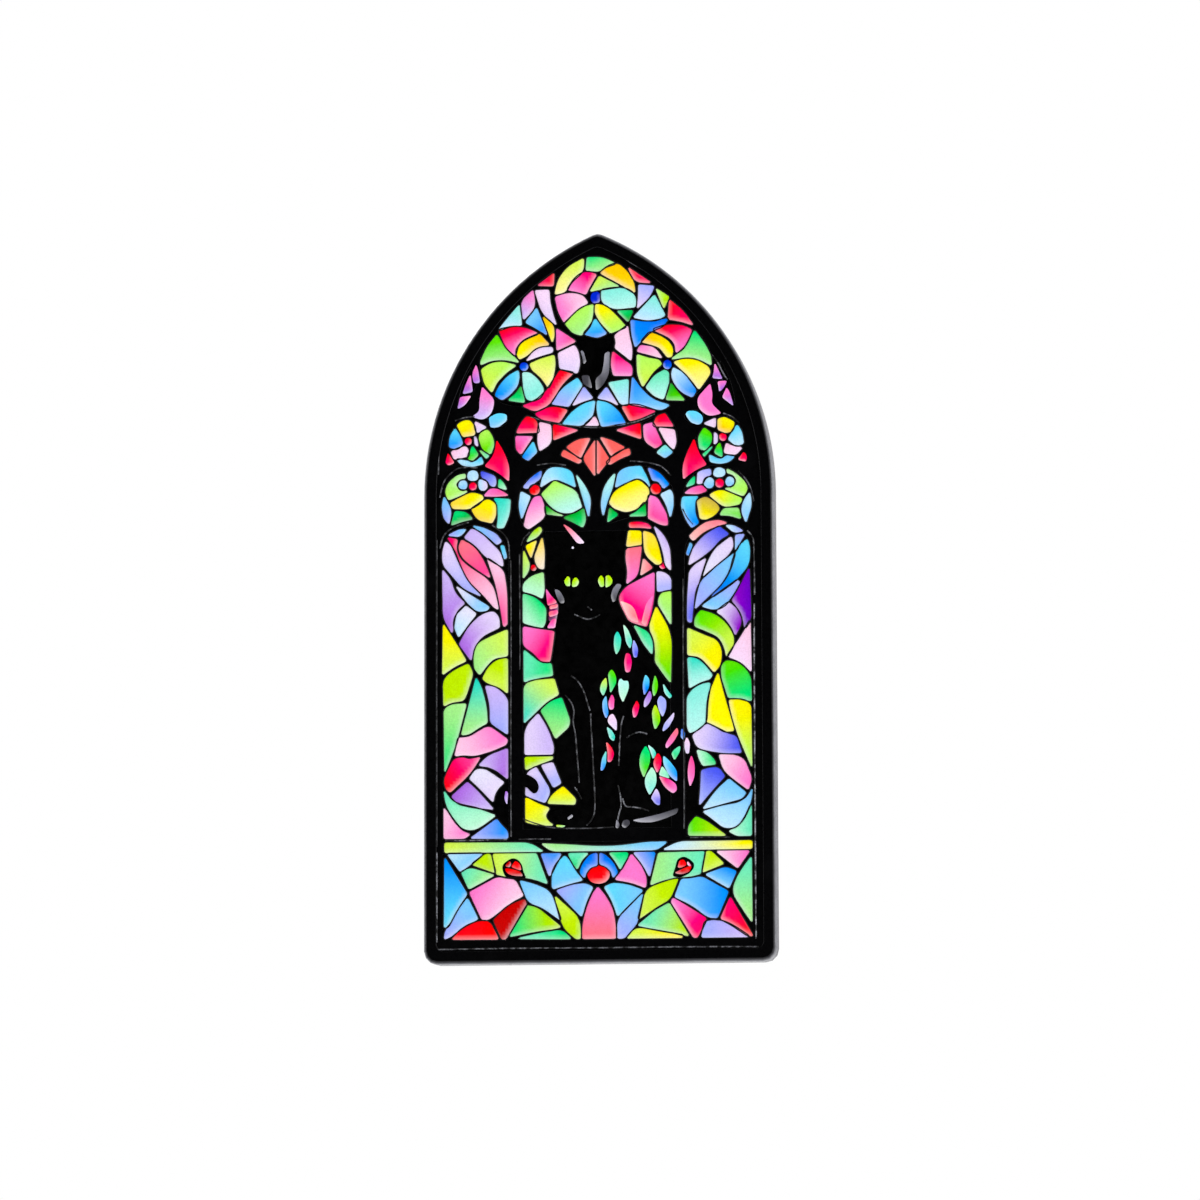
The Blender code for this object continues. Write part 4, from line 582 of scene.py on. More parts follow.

# Fine raised edges on the black, with painted highlights: how bright each highlight is, then the way each runs.
GLINTS = """
    0.55 | -11.1,1.5 -11.1,7.6
    0.12 | -11.1,8.0 -11.12,20.0 -11.1,29.0
    0.30 | -11.0,33.5 -10.9,36.0 -10.3,38.8 -9.3,41.2 -8.0,43.4 -6.2,45.3 -4.0,47.0 -2.2,48.3 -0.3,49.3
    0.35 | -3.4,47.5 -2.2,48.25 -1.0,48.9 -0.2,49.3
    0.22 | 0.2,49.25 1.4,48.5 2.4,47.8 3.5,47.1 4.6,46.3
    0.35 | -11.0,1.0 -6.0,1.03 0.0,1.0 6.0,1.0 10.8,0.95
    0.75 | 10.63,1.5 10.62,10.0 10.62,20.0 10.65,24.2
    0.40 | 10.68,24.8 10.66,27.0 10.6,28.6 10.2,29.2
    0.20 | -6.02,8.6 -6.03,16.0 -6.0,22.0 -6.02,27.5
    0.16 | 5.78,9.0 5.8,12.0 5.78,20.0 5.8,26.0
    0.50 | -10.5,8.4 -9.0,8.38 -7.2,8.4 -6.3,8.42
    0.30 | -5.5,8.4 -4.4,8.42 -3.3,8.4
    0.30 | 6.2,8.38 7.6,8.4 8.9,8.36
    0.25 | -10.9,28.4 -10.6,29.3 -9.9,29.85 -8.9,30.15
    0.25 | -6.1,27.6 -6.2,28.8 -6.6,29.4 -7.3,29.95
    0.30 | -10.9,31.9 -10.6,33.0 -9.9,33.75 -9.2,33.95 -8.3,33.9
    0.35 | 9.6,33.3 10.1,32.75 10.45,32.1 10.65,31.2
    0.30 | 6.5,29.7 6.1,30.2 5.8,30.8
    0.20 | -4.2,34.0 -3.2,34.1 -2.2,33.95
    0.30 | 2.2,34.15 3.2,34.05 4.3,33.75 5.0,33.1
    0.40 | -4.6,37.35 -3.4,36.95 -2.4,36.75 -1.2,36.6 0.2,36.5 1.2,36.65 2.6,36.85 3.9,37.35
    0.25 | -9.85,37.2 -9.2,37.4 -8.5,37.45
    0.30 | 8.6,37.3 9.2,37.05 9.7,36.6
    0.45 | 7.8,41.4 8.2,40.9 8.6,40.1 8.9,39.6
    0.35 | -1.65,23.7 -1.2,23.5 -0.75,23.35 -0.3,23.45 0.12,23.65
    0.45 | -0.75,24.2 -0.6,24.08 -0.45,23.98
    0.30 | -1.9,19.5 -1.6,19.3 -1.3,18.95 -1.05,18.5 -0.85,17.9 -0.6,17.1
    0.25 | -0.55,16.9 -0.53,16.0 -0.48,15.2 -0.42,14.0 -0.38,13.0 -0.3,11.6 -0.3,10.3 -0.5,9.7 -0.85,9.3
    0.22 | -2.3,18.2 -1.9,17.7 -1.7,17.1 -1.75,16.3 -1.6,15.5 -1.5,14.2 -1.4,13.0 -1.35,12.2
    0.45 | -1.65,11.9 -1.4,11.5 -1.2,11.1
    0.30 | 1.7,16.7 1.55,16.2 1.45,15.2 1.4,14.6
    0.50 | 1.42,14.7 1.38,14.0 1.35,13.3
    0.45 | 1.9,15.2 2.3,15.45 2.8,15.58 3.3,15.45
    0.50 | 1.3,12.0 1.45,11.3 1.5,10.6 1.4,10.2 1.25,9.6
    0.50 | 1.6,11.1 1.8,10.6 2.3,10.5 2.9,10.4 3.4,10.22
    0.22 | -5.2,9.8 -3.3,9.2 -1.0,9.1 1.0,9.15
    0.16 | -5.4,27.9 -5.4,26.0 -5.38,22.0 -5.4,20.0
    0.22 | -5.3,28.5 -5.1,29.0 -4.7,29.4
"""


# ---------------------------------------------------------------- shapes on the plate's front


def front(x, y, depth):
    """The place in the frame of a point drawn on the plate's front."""
    return Vector((x * MM, PLATE_HIGH.y - depth * MM, PLATE_LOW.z + y * MM))


def read_shapes(text):
    """(words before the bar, corners) of each shape."""
    shapes = []
    for line in text.strip().splitlines():
        if "|" in line:
            shapes.append(line)
        else:
            shapes[-1] += line
    for shape in shapes:
        head, corners = shape.split("|")
        yield head.split(), [tuple(map(float, corner.split(","))) for corner in corners.split()]


def neighbours(points):
    """Each point of a closed outline between the one before and the one after."""
    return zip(points[-1:] + points[:-1], points, points[1:] + points[:1])


def bend(start, corner, end, steps):
    """The curve from start to end that is drawn towards a corner."""
    shares = (step / steps for step in range(steps + 1))
    return [(1 - t) ** 2 * start + 2 * t * (1 - t) * corner + t * t * end for t in shares]


def eased(corners, tight, straightness=0.45, room_share=0.48, shortest=0.01):
    """The outline with its gentle bends drawn as curves and its sharp corners rounded by tight."""
    curve = []
    for before, here, after in neighbours([Vector(corner) for corner in corners]):
        back, ahead = before - here, after - here
        room = room_share * min(back.length, ahead.length)
        gentle = -back.normalized().dot(ahead.normalized()) > straightness
        reach = room if gentle else min(room, tight)
        curve += bend(here + back.normalized() * reach, here, here + ahead.normalized() * reach, 5 if gentle else 3)
    kept = [curve[0]]
    for point in curve[1:]:
        if (point - kept[-1]).length > shortest:
            kept.append(point)
    if (kept[0] - kept[-1]).length < shortest:
        kept.pop()
    area = sum(a.x * b.y - b.x * a.y for a, b in zip(kept, kept[1:] + kept[:1]))
    return kept if area > 0 else kept[::-1]


def grown(points, distance):
    """An anticlockwise outline moved outwards, with its sharp corners held back."""
    moved = []
    for before, here, after in neighbours(points):
        a, b = (here - before).normalized(), (after - here).normalized()
        outward = Vector((a.y + b.y, -a.x - b.x))
        if outward.length < SAME_SPOT:
            outward = Vector((a.y, -a.x))
        outward.normalize()
        moved.append(here + outward * distance / max(0.6, outward.dot(Vector((a.y, -a.x)))))
    return moved


def edge_distances(points, starts, ends):
    """How far each point is from each edge."""
    along = ends - starts
    lengths = np.maximum((along**2).sum(1), 1e-12)
    offset = points[:, None] - starts[None]
    share = np.clip((offset * along[None]).sum(2) / lengths, 0, 1)
    return np.linalg.norm(offset - share[..., None] * along[None], axis=2)


def inside_outline(points, starts, ends):
    """Whether each point is inside the outline that the edges make, by the edges that it meets on the way right."""
    x, y = points[:, :1], points[:, 1:]
    spans = (starts[:, 1] > y) != (ends[:, 1] > y)
    rise = np.where(ends[:, 1] == starts[:, 1], 1, ends[:, 1] - starts[:, 1])
    crossing = starts[:, 0] + (y - starts[:, 1]) * (ends[:, 0] - starts[:, 0]) / rise
    return (spans & (x < crossing)).sum(1) % 2 == 1


def srgb_to_linear(colour):
    """The linear light of an sRGB colour."""
    return [c / 12.92 if c <= 0.04045 else ((c + 0.055) / 1.055) ** 2.4 for c in colour]


class Pane:
    """One piece of glass: its outline, its two tints, and how it lies on its neighbours. Sizes are in millimetres."""

    CORNER = 0.13
    UNDER_LEAD, UNDER_NEIGHBOUR = 0.08, 0.02
    DOME_REACH = 0.16
    LIT_ASIDE, LIT_BELOW = 0.64, -0.77
    PALE_SHARE, PALE_WIDEST = 0.24, 0.34

    def __init__(self, head, corners):
        first, last, way = head
        self.lift = first.count("+")
        self.leaded = "~" not in first
        self.first, self.last = (np.array(srgb_to_linear(TINTS[name.strip("+~")])) for name in (first, last))
        self.is_black = first.strip("+~") == "black"
        self.way = math.radians(float(way))
        self.outline = eased(corners, self.CORNER)

    def lay(self, mesh, sizes, layers):
        """Adds the pane to a mesh as a closed, softly domed piece."""
        outline = grown(self.outline, self.UNDER_LEAD if self.leaded else self.UNDER_NEIGHBOUR)
        starts = np.array([tuple(p) for p in outline])
        ends = np.roll(starts, -1, 0)
        low, high = starts.min(0), starts.max(0)
        step = sizes.pane_grid / MM
        grid = np.stack(np.meshgrid(np.arange(low[0], high[0], step), np.arange(low[1], high[1], step)), -1)
        grid = grid.reshape(-1, 2)
        if len(grid):
            grid = grid[inside_outline(grid, starts, ends)]
            grid = grid[edge_distances(grid, starts, ends).min(1) > step * 0.45]
        points = [Vector(p) for p in np.concatenate([starts, grid])]
        loop = [(i, (i + 1) % len(outline)) for i in range(len(outline))]
        flat, _, faces, *_ = geometry.delaunay_2d_cdt(points, loop, [], 1, 1e-5)
        spots = np.array([tuple(p) for p in flat])
        distances = edge_distances(spots, starts, ends)
        tints, pale = self.colours(spots, distances, starts, ends)
        top = TRACERY_TOP + sizes.pane_proud / MM + self.lift * LIFT
        dome = 0 if self.is_black else sizes.pane_dome / MM
        heights = top + dome * (1 - np.exp(-distances.min(1) / self.DOME_REACH))
        tint_layer, pale_layer = layers
        verts = []
        for spot, height, tint, share in zip(spots, heights, tints, pale):
            vert = mesh.verts.new(front(*spot, height))
            vert[tint_layer] = (*tint, 1)
            vert[pale_layer] = share
            verts.append(vert)
        surface = [mesh.faces.new([verts[i] for i in face]) for face in faces]
        for face in surface:
            face.smooth = True
        rim = [edge for edge in {edge for face in surface for edge in face.edges} if len(edge.link_faces) == 1]
        skirt = bmesh.ops.extrude_edge_only(mesh, edges=rim)["geom"]
        lowered = {item for item in skirt if isinstance(item, bmesh.types.BMVert)}
        for vert in lowered:
            vert.co.y = front(0, 0, sizes.pane_seat / MM).y
        for edge in rim:
            edge.smooth = False
        foot = [item for item in skirt if isinstance(item, bmesh.types.BMEdge) and lowered.issuperset(item.verts)]
        bmesh.ops.edgeloop_fill(mesh, edges=foot)

    def colours(self, spots, distances, starts, ends):
        """Each point's tint along the pane's way, and how far it is into the pale band along the lit edges."""
        way = np.array([math.cos(self.way), math.sin(self.way)])
        along = spots @ way
        flow = (along - along.min()) / max(np.ptp(along), 1e-6)
        flow = (flow * flow * (3 - 2 * flow))[:, None]
        tints = self.first * (1 - flow) + self.last * flow
        edges = ends - starts
        outward = np.stack([edges[:, 1], -edges[:, 0]], 1)
        outward /= np.maximum(np.linalg.norm(outward, axis=1, keepdims=True), 1e-9)
        towards = np.array([math.copysign(self.LIT_ASIDE, -spots[:, 0].mean()), self.LIT_BELOW])
        facing = np.clip(outward @ towards * 1.6 - 0.5, 0, 1)
        across = math.sqrt(max(np.ptp(spots[:, 0]) * np.ptp(spots[:, 1]), 0.01))
        width = min(self.PALE_WIDEST, self.PALE_SHARE * across)
        pale = (facing * np.clip(1 - distances / width, 0, 1)).max(1)
        return tints, pale * (0 if self.is_black else 1)


PANE_SETS = {region: [Pane(*shape) for shape in read_shapes(text)] for region, text in PANES.items()}

# ---------------------------------------------------------------- nodes


class Wire:
    """A node's output, on which arithmetic can be written."""

    def __init__(self, net, socket):
        self.net, self.socket = net, socket

    def maths(self, operation, *values, clamp=False):
        settings = {"operation": operation, "use_clamp": clamp}
        return self.net.add("ShaderNodeMath", settings, dict(enumerate(values)))

    def __add__(self, other):
        return self.maths("ADD", self, other)

    def __rsub__(self, other):
        return self.maths("SUBTRACT", other, self)

    def __mul__(self, other):
        return self.maths("MULTIPLY", self, other)

    def clamped(self):
        return self.maths("ADD", self, 0, clamp=True)

    __radd__ = __add__


class Net:
    """The nodes and links of a material, a world or a Geometry Nodes tree."""

    def __init__(self, tree):
        self.tree = tree

    def add(self, kind, settings=None, inputs=None, output=0):
        node = self.tree.nodes.new(kind)
        for key, value in (settings or {}).items():
            setattr(node, key, value)
        for key, value in (inputs or {}).items():
            self.feed(node.inputs[key], value)
        return Wire(self, node.outputs[output]) if node.outputs else None

    def feed(self, socket, value):
        if isinstance(value, Wire):
            self.tree.links.new(value.socket, socket)
        else:
            socket.default_value = value

    def spread(self, value, low, high, to_low=0.0, to_high=1.0):
        """A value taken from one range to another, and held within it."""
        ends = {"From Min": low, "From Max": high, "To Min": to_low, "To Max": to_high}
        return self.add("ShaderNodeMapRange", {"clamp": True}, {"Value": value, **ends})

    def split(self, vector):
        """The X, Y and Z of a vector."""
        node = self.add("ShaderNodeSeparateXYZ", inputs={"Vector": vector}).socket.node
        return [Wire(self, output) for output in node.outputs]

    def blend(self, share, first, second, kind="MIX"):
        """Two colours mixed by a share. The Mix node keeps its colour sockets at places 6 and 7."""
        first, second = (c if isinstance(c, Wire) else (*c[:3], 1) for c in (first, second))
        settings = {"data_type": "RGBA", "blend_type": kind}
        return self.add("ShaderNodeMix", settings, {0: share, 6: first, 7: second}, output=2)


class Finish(Net):
    """A procedural material, patterned over its own piece in millimetres."""

    def __init__(self, name, **sockets):
        self.material = bpy.data.materials.new(name)
        self.material.use_nodes = True
        super().__init__(self.material.node_tree)
        self.surface = self.tree.nodes["Principled BSDF"]
        for socket, value in sockets.items():
            self.surface.inputs[socket.replace("_", " ")].default_value = value
        self.place = self.add("ShaderNodeTexCoord", output="Object")

    def attribute(self, name, output):
        """What the piece's mesh stores under a name, as its Color or its Fac."""
        return self.add("ShaderNodeAttribute", {"attribute_name": name}, output=output)

    def noise(self, size, detail=2.0, stretch=(1, 1, 1)):
        """Noise from 0 to 1 whose blotches are about size millimetres, drawn out along an axis by stretch."""
        place = self.add("ShaderNodeMapping", inputs={"Vector": self.place, "Scale": [1 / s for s in stretch]})
        return self.add("ShaderNodeTexNoise", inputs={"Vector": place, "Scale": 1 / (size * MM), "Detail": detail})

    def finish(self, colour, roughness, height, relief):
        """Wires up the surface: relief is how far the height's 1 stands above its 0, in millimetres."""
        self.feed(self.surface.inputs["Base Color"], colour)
        self.feed(self.surface.inputs["Roughness"], roughness)
        bump = self.add("ShaderNodeBump", inputs={"Strength": 1.0, "Distance": relief * MM, "Height": height})
        self.feed(self.surface.inputs["Normal"], bump)
        return self.material


def fired_glass():
    """Coloured enamel: tints that flow across each pane, pale along the lit edges, with a fine grain and soft pits."""
    finish = Finish("fired_enamel", Specular_IOR_Level=0.1)
    pale = finish.attribute("pale", "Fac")
    grain = finish.noise(0.07, 3.0)
    clouds = finish.noise(1.6, 2.0)
    share = (pale * 0.42 * finish.spread(grain, 0.3, 0.7, 0.8, 1.0)).clamped()
    pigment = {"Saturation": 1.06, "Value": 0.95, "Color": finish.attribute("tint", "Color")}
    tint = finish.blend(share, finish.add("ShaderNodeHueSaturation", inputs=pigment), (0.97, 0.97, 1.0))
    tint = finish.blend(finish.spread(grain, 0.35, 0.65, 0.0, 0.16), tint, (0.02, 0.02, 0.05), "MULTIPLY")
    tint = finish.blend(finish.spread(clouds, 0.3, 0.7, 0.0, 0.12), tint, (0.55, 0.55, 0.75), "SOFT_LIGHT")
    roughness = finish.spread(finish.noise(0.5, 4.0), 0.3, 0.7, 0.22, 0.34)
    return finish.finish(tint, roughness, grain * 0.4 + finish.noise(0.6, 3.0), 0.003)


def black_lacquer(colour, wall_sheen):
    """Black plated metal: satin, with fine orange peel, specks, patches of wear, and outer walls painted grey as sheen.
    """
    finish = Finish("black_plating", Specular_IOR_Level=0.05, Coat_Roughness=0.22)
    peel = finish.noise(0.22, 3.0)
    # Random patches of wear, a little lighter and rougher.
    wear_and_glint = finish.spread(finish.noise(2.6, 5.0), 0.58, 0.72)
    specks = finish.spread(finish.noise(0.09, 1.0), 0.72, 0.78)
    _, backwards, _ = finish.split(finish.add("ShaderNodeNewGeometry", output="Normal"))
    wall = finish.spread(backwards.maths("ABSOLUTE", backwards), 0.6, 0.995, 1.0, 0.0)
    outer = finish.attribute("outer", "Fac") * 0.93 + 0.07
    # Painted sheen: the outer walls are painted lighter grey where they would catch the light; the same mask adds coat
    # there.
    side = wall * finish.spread(finish.noise(0.9, 4.0), 0.3, 0.7, 0.75, 1.0) * outer
    back = finish.spread(backwards, 0.2, 0.6)
    finish.feed(finish.surface.inputs["Coat Weight"], (back + side).clamped() * finish.spread(peel, 0.3, 0.7, 0.4, 0.6))
    tone = finish.blend(wear_and_glint * 0.3, colour, (0.002, 0.002, 0.0025))
    tone = finish.blend(specks * 0.2, tone, (0.012, 0.012, 0.015))
    tone = finish.blend(side, tone, wall_sheen)
    roughness = finish.spread(peel, 0.3, 0.7, 0.24, 0.36) + wear_and_glint * 0.08
    return finish.finish(tone, roughness, peel + specks * 0.4, 0.003)


def leading(colour):
    """The fine black lines between the panes: dull, slightly grainy."""
    finish = Finish("black_leading", Specular_IOR_Level=0.15)
    grain = finish.noise(0.06, 3.0)
    tone = finish.blend(finish.spread(grain, 0.4, 0.8, 0.0, 0.6), colour, (0.008, 0.008, 0.01))
    return finish.finish(tone, finish.spread(grain, 0.3, 0.7, 0.40, 0.62), grain, 0.008)


def glinting_edge(colour, bright):
    """A thin raised edge of the black, with a painted highlight in broken runs."""
    finish = Finish("painted_glint_edge", Specular_IOR_Level=0.2)
    broken = finish.spread(finish.noise(0.5, 4.0), 0.44, 0.56)
    flecks = finish.spread(finish.noise(0.10, 2.0), 0.35, 0.65, 0.35, 1.0)
    # Painted highlight: grey painted onto the black edge in broken runs, where it would catch the light.
    share = (finish.attribute("glint", "Fac") * broken * flecks).clamped()
    tone = finish.blend(share, colour, bright)
    return finish.finish(tone, finish.spread(flecks, 0.3, 1.0, 0.5, 0.3), flecks, 0.006)


def bright_nickel(colour):
    """Stamped nickel: drawn lines, clouded roughness, and small scuffs on what is handled."""
    finish = Finish("bright_nickel", Metallic=1.0)
    drawn = finish.noise(0.05, 3.0, stretch=(1, 14, 1))
    clouds = finish.noise(1.8, 4.0)
    scuffs = finish.spread(finish.noise(0.35, 5.0, stretch=(4, 1, 1)), 0.62, 0.70)
    tone = finish.blend(finish.spread(clouds, 0.35, 0.7, 0.0, 0.45), colour, (0.34, 0.32, 0.29))
    tone = finish.blend(scuffs * 0.4, tone, (0.70, 0.69, 0.68))
    roughness = finish.spread(clouds, 0.3, 0.7, 0.13, 0.24) + finish.spread(drawn, 0.3, 0.7, 0.0, 0.08) + scuffs * 0.1
    return finish.finish(tone, roughness, drawn + scuffs * 0.5, 0.004)


def nickel():
    """The one nickel finish that the posts and clutches share."""
    return bpy.data.materials.get("bright_nickel") or bright_nickel(settings().colours.nickel)


def pale_board(colour):
    """The floor: pale card with a faint tooth."""
    finish = Finish("pale_board", Specular_IOR_Level=0.2)
    tooth = finish.noise(0.8, 4.0)
    tone = finish.blend(finish.spread(finish.noise(60, 3.0), 0.3, 0.7, 0.0, 0.35), colour, [c * 0.95 for c in colour])
    return finish.finish(tone, finish.spread(tooth, 0.3, 0.7, 0.6, 0.75), tooth, 0.05)


def drawn_wire():
    """The Geometry Nodes tree that turns lines into round wire: its inputs are Radius, Sides and Finish."""
    group = bpy.data.node_groups.new("drawn_wire", "GeometryNodeTree")
    for name, kind, way in (
        ("Lines", "NodeSocketGeometry", "INPUT"),
        ("Radius", "NodeSocketFloat", "INPUT"),
        ("Sides", "NodeSocketInt", "INPUT"),
        ("Finish", "NodeSocketMaterial", "INPUT"),
        ("Wire", "NodeSocketGeometry", "OUTPUT"),
    ):
        group.interface.new_socket(name, in_out=way, socket_type=kind)
    net = Net(group)
    given = group.nodes.new("NodeGroupInput")
    lines, radius, sides, finish = (Wire(net, given.outputs[name]) for name in ("Lines", "Radius", "Sides", "Finish"))
    curve = net.add("GeometryNodeMeshToCurve", inputs={"Mesh": lines})
    ring = net.add("GeometryNodeCurvePrimitiveCircle", {"mode": "RADIUS"}, {"Resolution": sides, "Radius": radius})
    wire = net.add("GeometryNodeCurveToMesh", inputs={"Curve": curve, "Profile Curve": ring, "Fill Caps": True})
    smooth = net.add("GeometryNodeSetShadeSmooth", inputs={"Geometry": wire, "Shade Smooth": True})
    real = net.add("GeometryNodeRealizeInstances", inputs={"Geometry": smooth})
    coated = net.add("GeometryNodeSetMaterial", inputs={"Geometry": real, "Material": finish})
    net.add("NodeGroupOutput", inputs={"Wire": coated})
    return group


# ---------------------------------------------------------------- pieces


def show(name, mesh, *finishes):
    """A piece in the scene from mesh data, or from a bmesh, which is freed."""
    if isinstance(mesh, bmesh.types.BMesh):
        data = bpy.data.meshes.new(name)
        mesh.to_mesh(data)
        mesh.free()
        mesh = data
    for finish in finishes:
        mesh.materials.append(finish)
    piece = bpy.data.objects.new(name, mesh)
    bpy.context.scene.collection.objects.link(piece)
    return piece


def wired(name, paths, radius, sides, finish, strengths=None, closed=False):
    """Round wire along each path, made a plain mesh. Paths are lists of places in the frame."""
    lines = bpy.data.meshes.new(name)
    verts, edges, shares = [], [], []
    for path, strength in zip(paths, strengths or [0.0] * len(paths)):
        first = len(verts)
        verts += path
        shares += [strength] * len(path)
        edges += [(first + i, first + i + 1) for i in range(len(path) - 1)]
        if closed:
            edges.append((len(verts) - 1, first))
    lines.from_pydata(verts, edges, [])
    lines.attributes.new("glint", "FLOAT", "POINT").data.foreach_set("value", shares)
    helper = show(name + "_lines", lines)
    group = drawn_wire()
    modifier = helper.modifiers.new("wire", "NODES")
    modifier.node_group = group
    keys = {item.name: item.identifier for item in group.interface.items_tree if item.in_out == "INPUT"}
    modifier[keys["Radius"]] = radius
    modifier[keys["Sides"]] = sides
    modifier[keys["Finish"]] = finish
    evaluated = helper.evaluated_get(bpy.context.evaluated_depsgraph_get())
    mesh = bpy.data.meshes.new_from_object(evaluated)
    bpy.data.objects.remove(helper)
    bpy.data.meshes.remove(lines)
    bpy.data.node_groups.remove(group)
    mesh.name = name
    return show(name, mesh)


def settled(piece):
    """The piece with its modifiers worked into a plain mesh."""
    evaluated = piece.evaluated_get(bpy.context.evaluated_depsgraph_get())
    mesh = bpy.data.meshes.new_from_object(evaluated)
    piece.modifiers.clear()
    spare, piece.data = piece.data, mesh
    bpy.data.meshes.remove(spare)
    mesh.name = piece.name


def smooth_by_angle(mesh, degrees):
    """Smooth shading that breaks at every edge sharper than this."""
    sharpest = math.radians(degrees)
    for face in mesh.faces:
        face.smooth = True
    for edge in mesh.edges:
        edge.smooth = len(edge.link_faces) == 2 and edge.calc_face_angle(0) < sharpest


def round_edges(piece, width, segments=3, round_over=40, smooth_under=45):
    """Works a piece's modifiers and a bevel on its sharp edges into a plain, smoothly shaded mesh."""
    bevel = piece.modifiers.new("round", "BEVEL")
    bevel.width = width
    bevel.segments = segments
    bevel.limit_method = "ANGLE"
    bevel.angle_limit = math.radians(round_over)
    settled(piece)
    mesh = bmesh.new()
    mesh.from_mesh(piece.data)
    smooth_by_angle(mesh, smooth_under)
    mesh.to_mesh(piece.data)
    mesh.free()


def lathed(mesh, profile, sides, axis, closed):
    """Adds a profile of (radius, height along +Y) turned about a +Y axis. A radius of 0 closes on a pole."""
    rings = []
    for radius, height in profile:
        turns = 1 if radius == 0 else sides
        angles = [2 * math.pi * step / sides for step in range(turns)]
        rings.append([
            mesh.verts.new((axis.x + radius * math.cos(a), axis.y + height, axis.z + radius * math.sin(a)))
            for a in angles
        ])
    pairs = list(zip(rings, rings[1:]))
    if closed:
        pairs.append((rings[-1], rings[0]))
    for near, far in pairs:
        for step in range(sides):
            corners = [near[step % len(near)], near[(step + 1) % len(near)],
                       far[(step + 1) % len(far)], far[step % len(far)]]
            corners = [v for i, v in enumerate(corners) if v not in corners[:i]]
            mesh.faces.new(corners)


def rounded(profile, reach, closed=False):
    """A profile with each corner drawn as a small curve, except the ends of an open one."""
    points = [Vector(p) for p in profile]
    curve = []
    for i, here in enumerate(points):
        if not closed and i in (0, len(points) - 1):
            curve.append(here)
            continue
        back, ahead = points[i - 1] - here, points[(i + 1) % len(points)] - here
        start = here + back.normalized() * min(reach, back.length * 0.45)
        end = here + ahead.normalized() * min(reach, ahead.length * 0.45)
        curve += bend(start, here, end, steps=4)
    return [tuple(p) for p in curve]


def through(values, share):
    """A smooth curve through evenly spaced values, read at a share of its length."""
    values = [Vector(v) for v in values]
    spot = share * (len(values) - 1)
    i = min(int(spot), len(values) - 2)
    t = spot - i
    a, b, c, d = (values[min(max(k, 0), len(values) - 1)] for k in (i - 1, i, i + 1, i + 2))
    return 0.5 * (2 * b + (c - a) * t + (2 * a - 5 * b + 4 * c - d) * t**2 + (3 * b - a - 3 * c + d) * t**3)


# ---------------------------------------------------------------- settings


def length(name, description, millimetres):
    """A length setting, kept in metres."""
    return bpy.props.FloatProperty(
        name=name, description=description, default=millimetres * MM, min=0.0, precision=6, subtype="DISTANCE",
        unit="LENGTH",
    )


def colour(name, description, default):
    """A colour setting, in linear light."""
    return bpy.props.FloatVectorProperty(
        name=name, description=description, default=default, size=3, min=0.0, max=1.0, subtype="COLOR"
    )


class PaneSizes(bpy.types.PropertyGroup):
    """Sizes of the panes, their leading and the raised edges with painted highlights"""

    pane_grid: length("Grid", "How far apart the points on a pane's surface are", 0.2)
    pane_proud: length("Proud", "How far a pane's edge stands above the tracery", 0.005)
    pane_dome: length("Dome", "How far the fired glass swells above its edge", 0.035)
    pane_seat: length("Seat", "How far each pane's underside is from the plate's back", 1.74)
    lead_radius: length("Lead radius", "Half the width of the black line round each pane", 0.046)
    lead_offset: length("Lead offset", "How far outside a pane its line runs", 0.09)
    lead_sides: bpy.props.IntProperty(name="Lead sides", description="Sides of the round line", default=6, min=3)
    glint_radius: length("Glint radius", "Half the width of a painted glint edge", 0.05)


class MetalSizes(bpy.types.PropertyGroup):
    """Sizes of the casting, posts and clutches"""

    casting_round: length("Casting round", "How far the casting's edges are rounded", 0.035)
    post_radius: length("Post radius", "Radius of a post's shaft", 0.58)
    groove_depth: length("Groove depth", "How deep the clutch's groove is cut round a post", 0.12)
    fillet: length("Solder fillet", "Size of the solder round the foot of a post", 0.15)
    sheet: length("Cup sheet", "Thickness of the clutch's stamped base", 0.3)
    wing_sheet: length("Wing sheet", "Thickness of a spring wing", 0.25)
    turned_sides: bpy.props.IntProperty(name="Turned sides", description="Sides of a turned piece", default=96, min=12)
    knurls: bpy.props.IntProperty(name="Knurls", description="Ridges round each clutch's rim", default=60, min=0)


class Colours(bpy.types.PropertyGroup):
    """Colours of the finishes"""

    plating: colour("Plating", "The casting's black", (0.0006, 0.0006, 0.0008))
    # The grey painted onto the casting's outer walls as sheen.
    wall_sheen: colour("Painted wall sheen", "The casting's side walls", (0.17, 0.17, 0.185))
    # The grey of the painted highlights on the raised edges.
    wear_and_glint: colour("Painted glint", "Painted highlight colour on the black's raised edges", (0.42, 0.43, 0.48))
    nickel: colour("Nickel", "Posts and clutches", (0.50, 0.48, 0.45))
    floor: colour("Floor", "The card under the pin", (0.66, 0.66, 0.67))


class PinSettings(bpy.types.PropertyGroup):
    """All the settings of the pin"""

    panes: bpy.props.PointerProperty(type=PaneSizes, name="Panes", description="Sizes of the glass and its leading")
    metal: bpy.props.PointerProperty(type=MetalSizes, name="Metal", description="Sizes of the metal")
    colours: bpy.props.PointerProperty(type=Colours, name="Colours", description="Colours of the finishes")


def settings():
    """The scene's own settings of the pin."""
    return bpy.context.scene.window_pin


# ---------------------------------------------------------------- operators


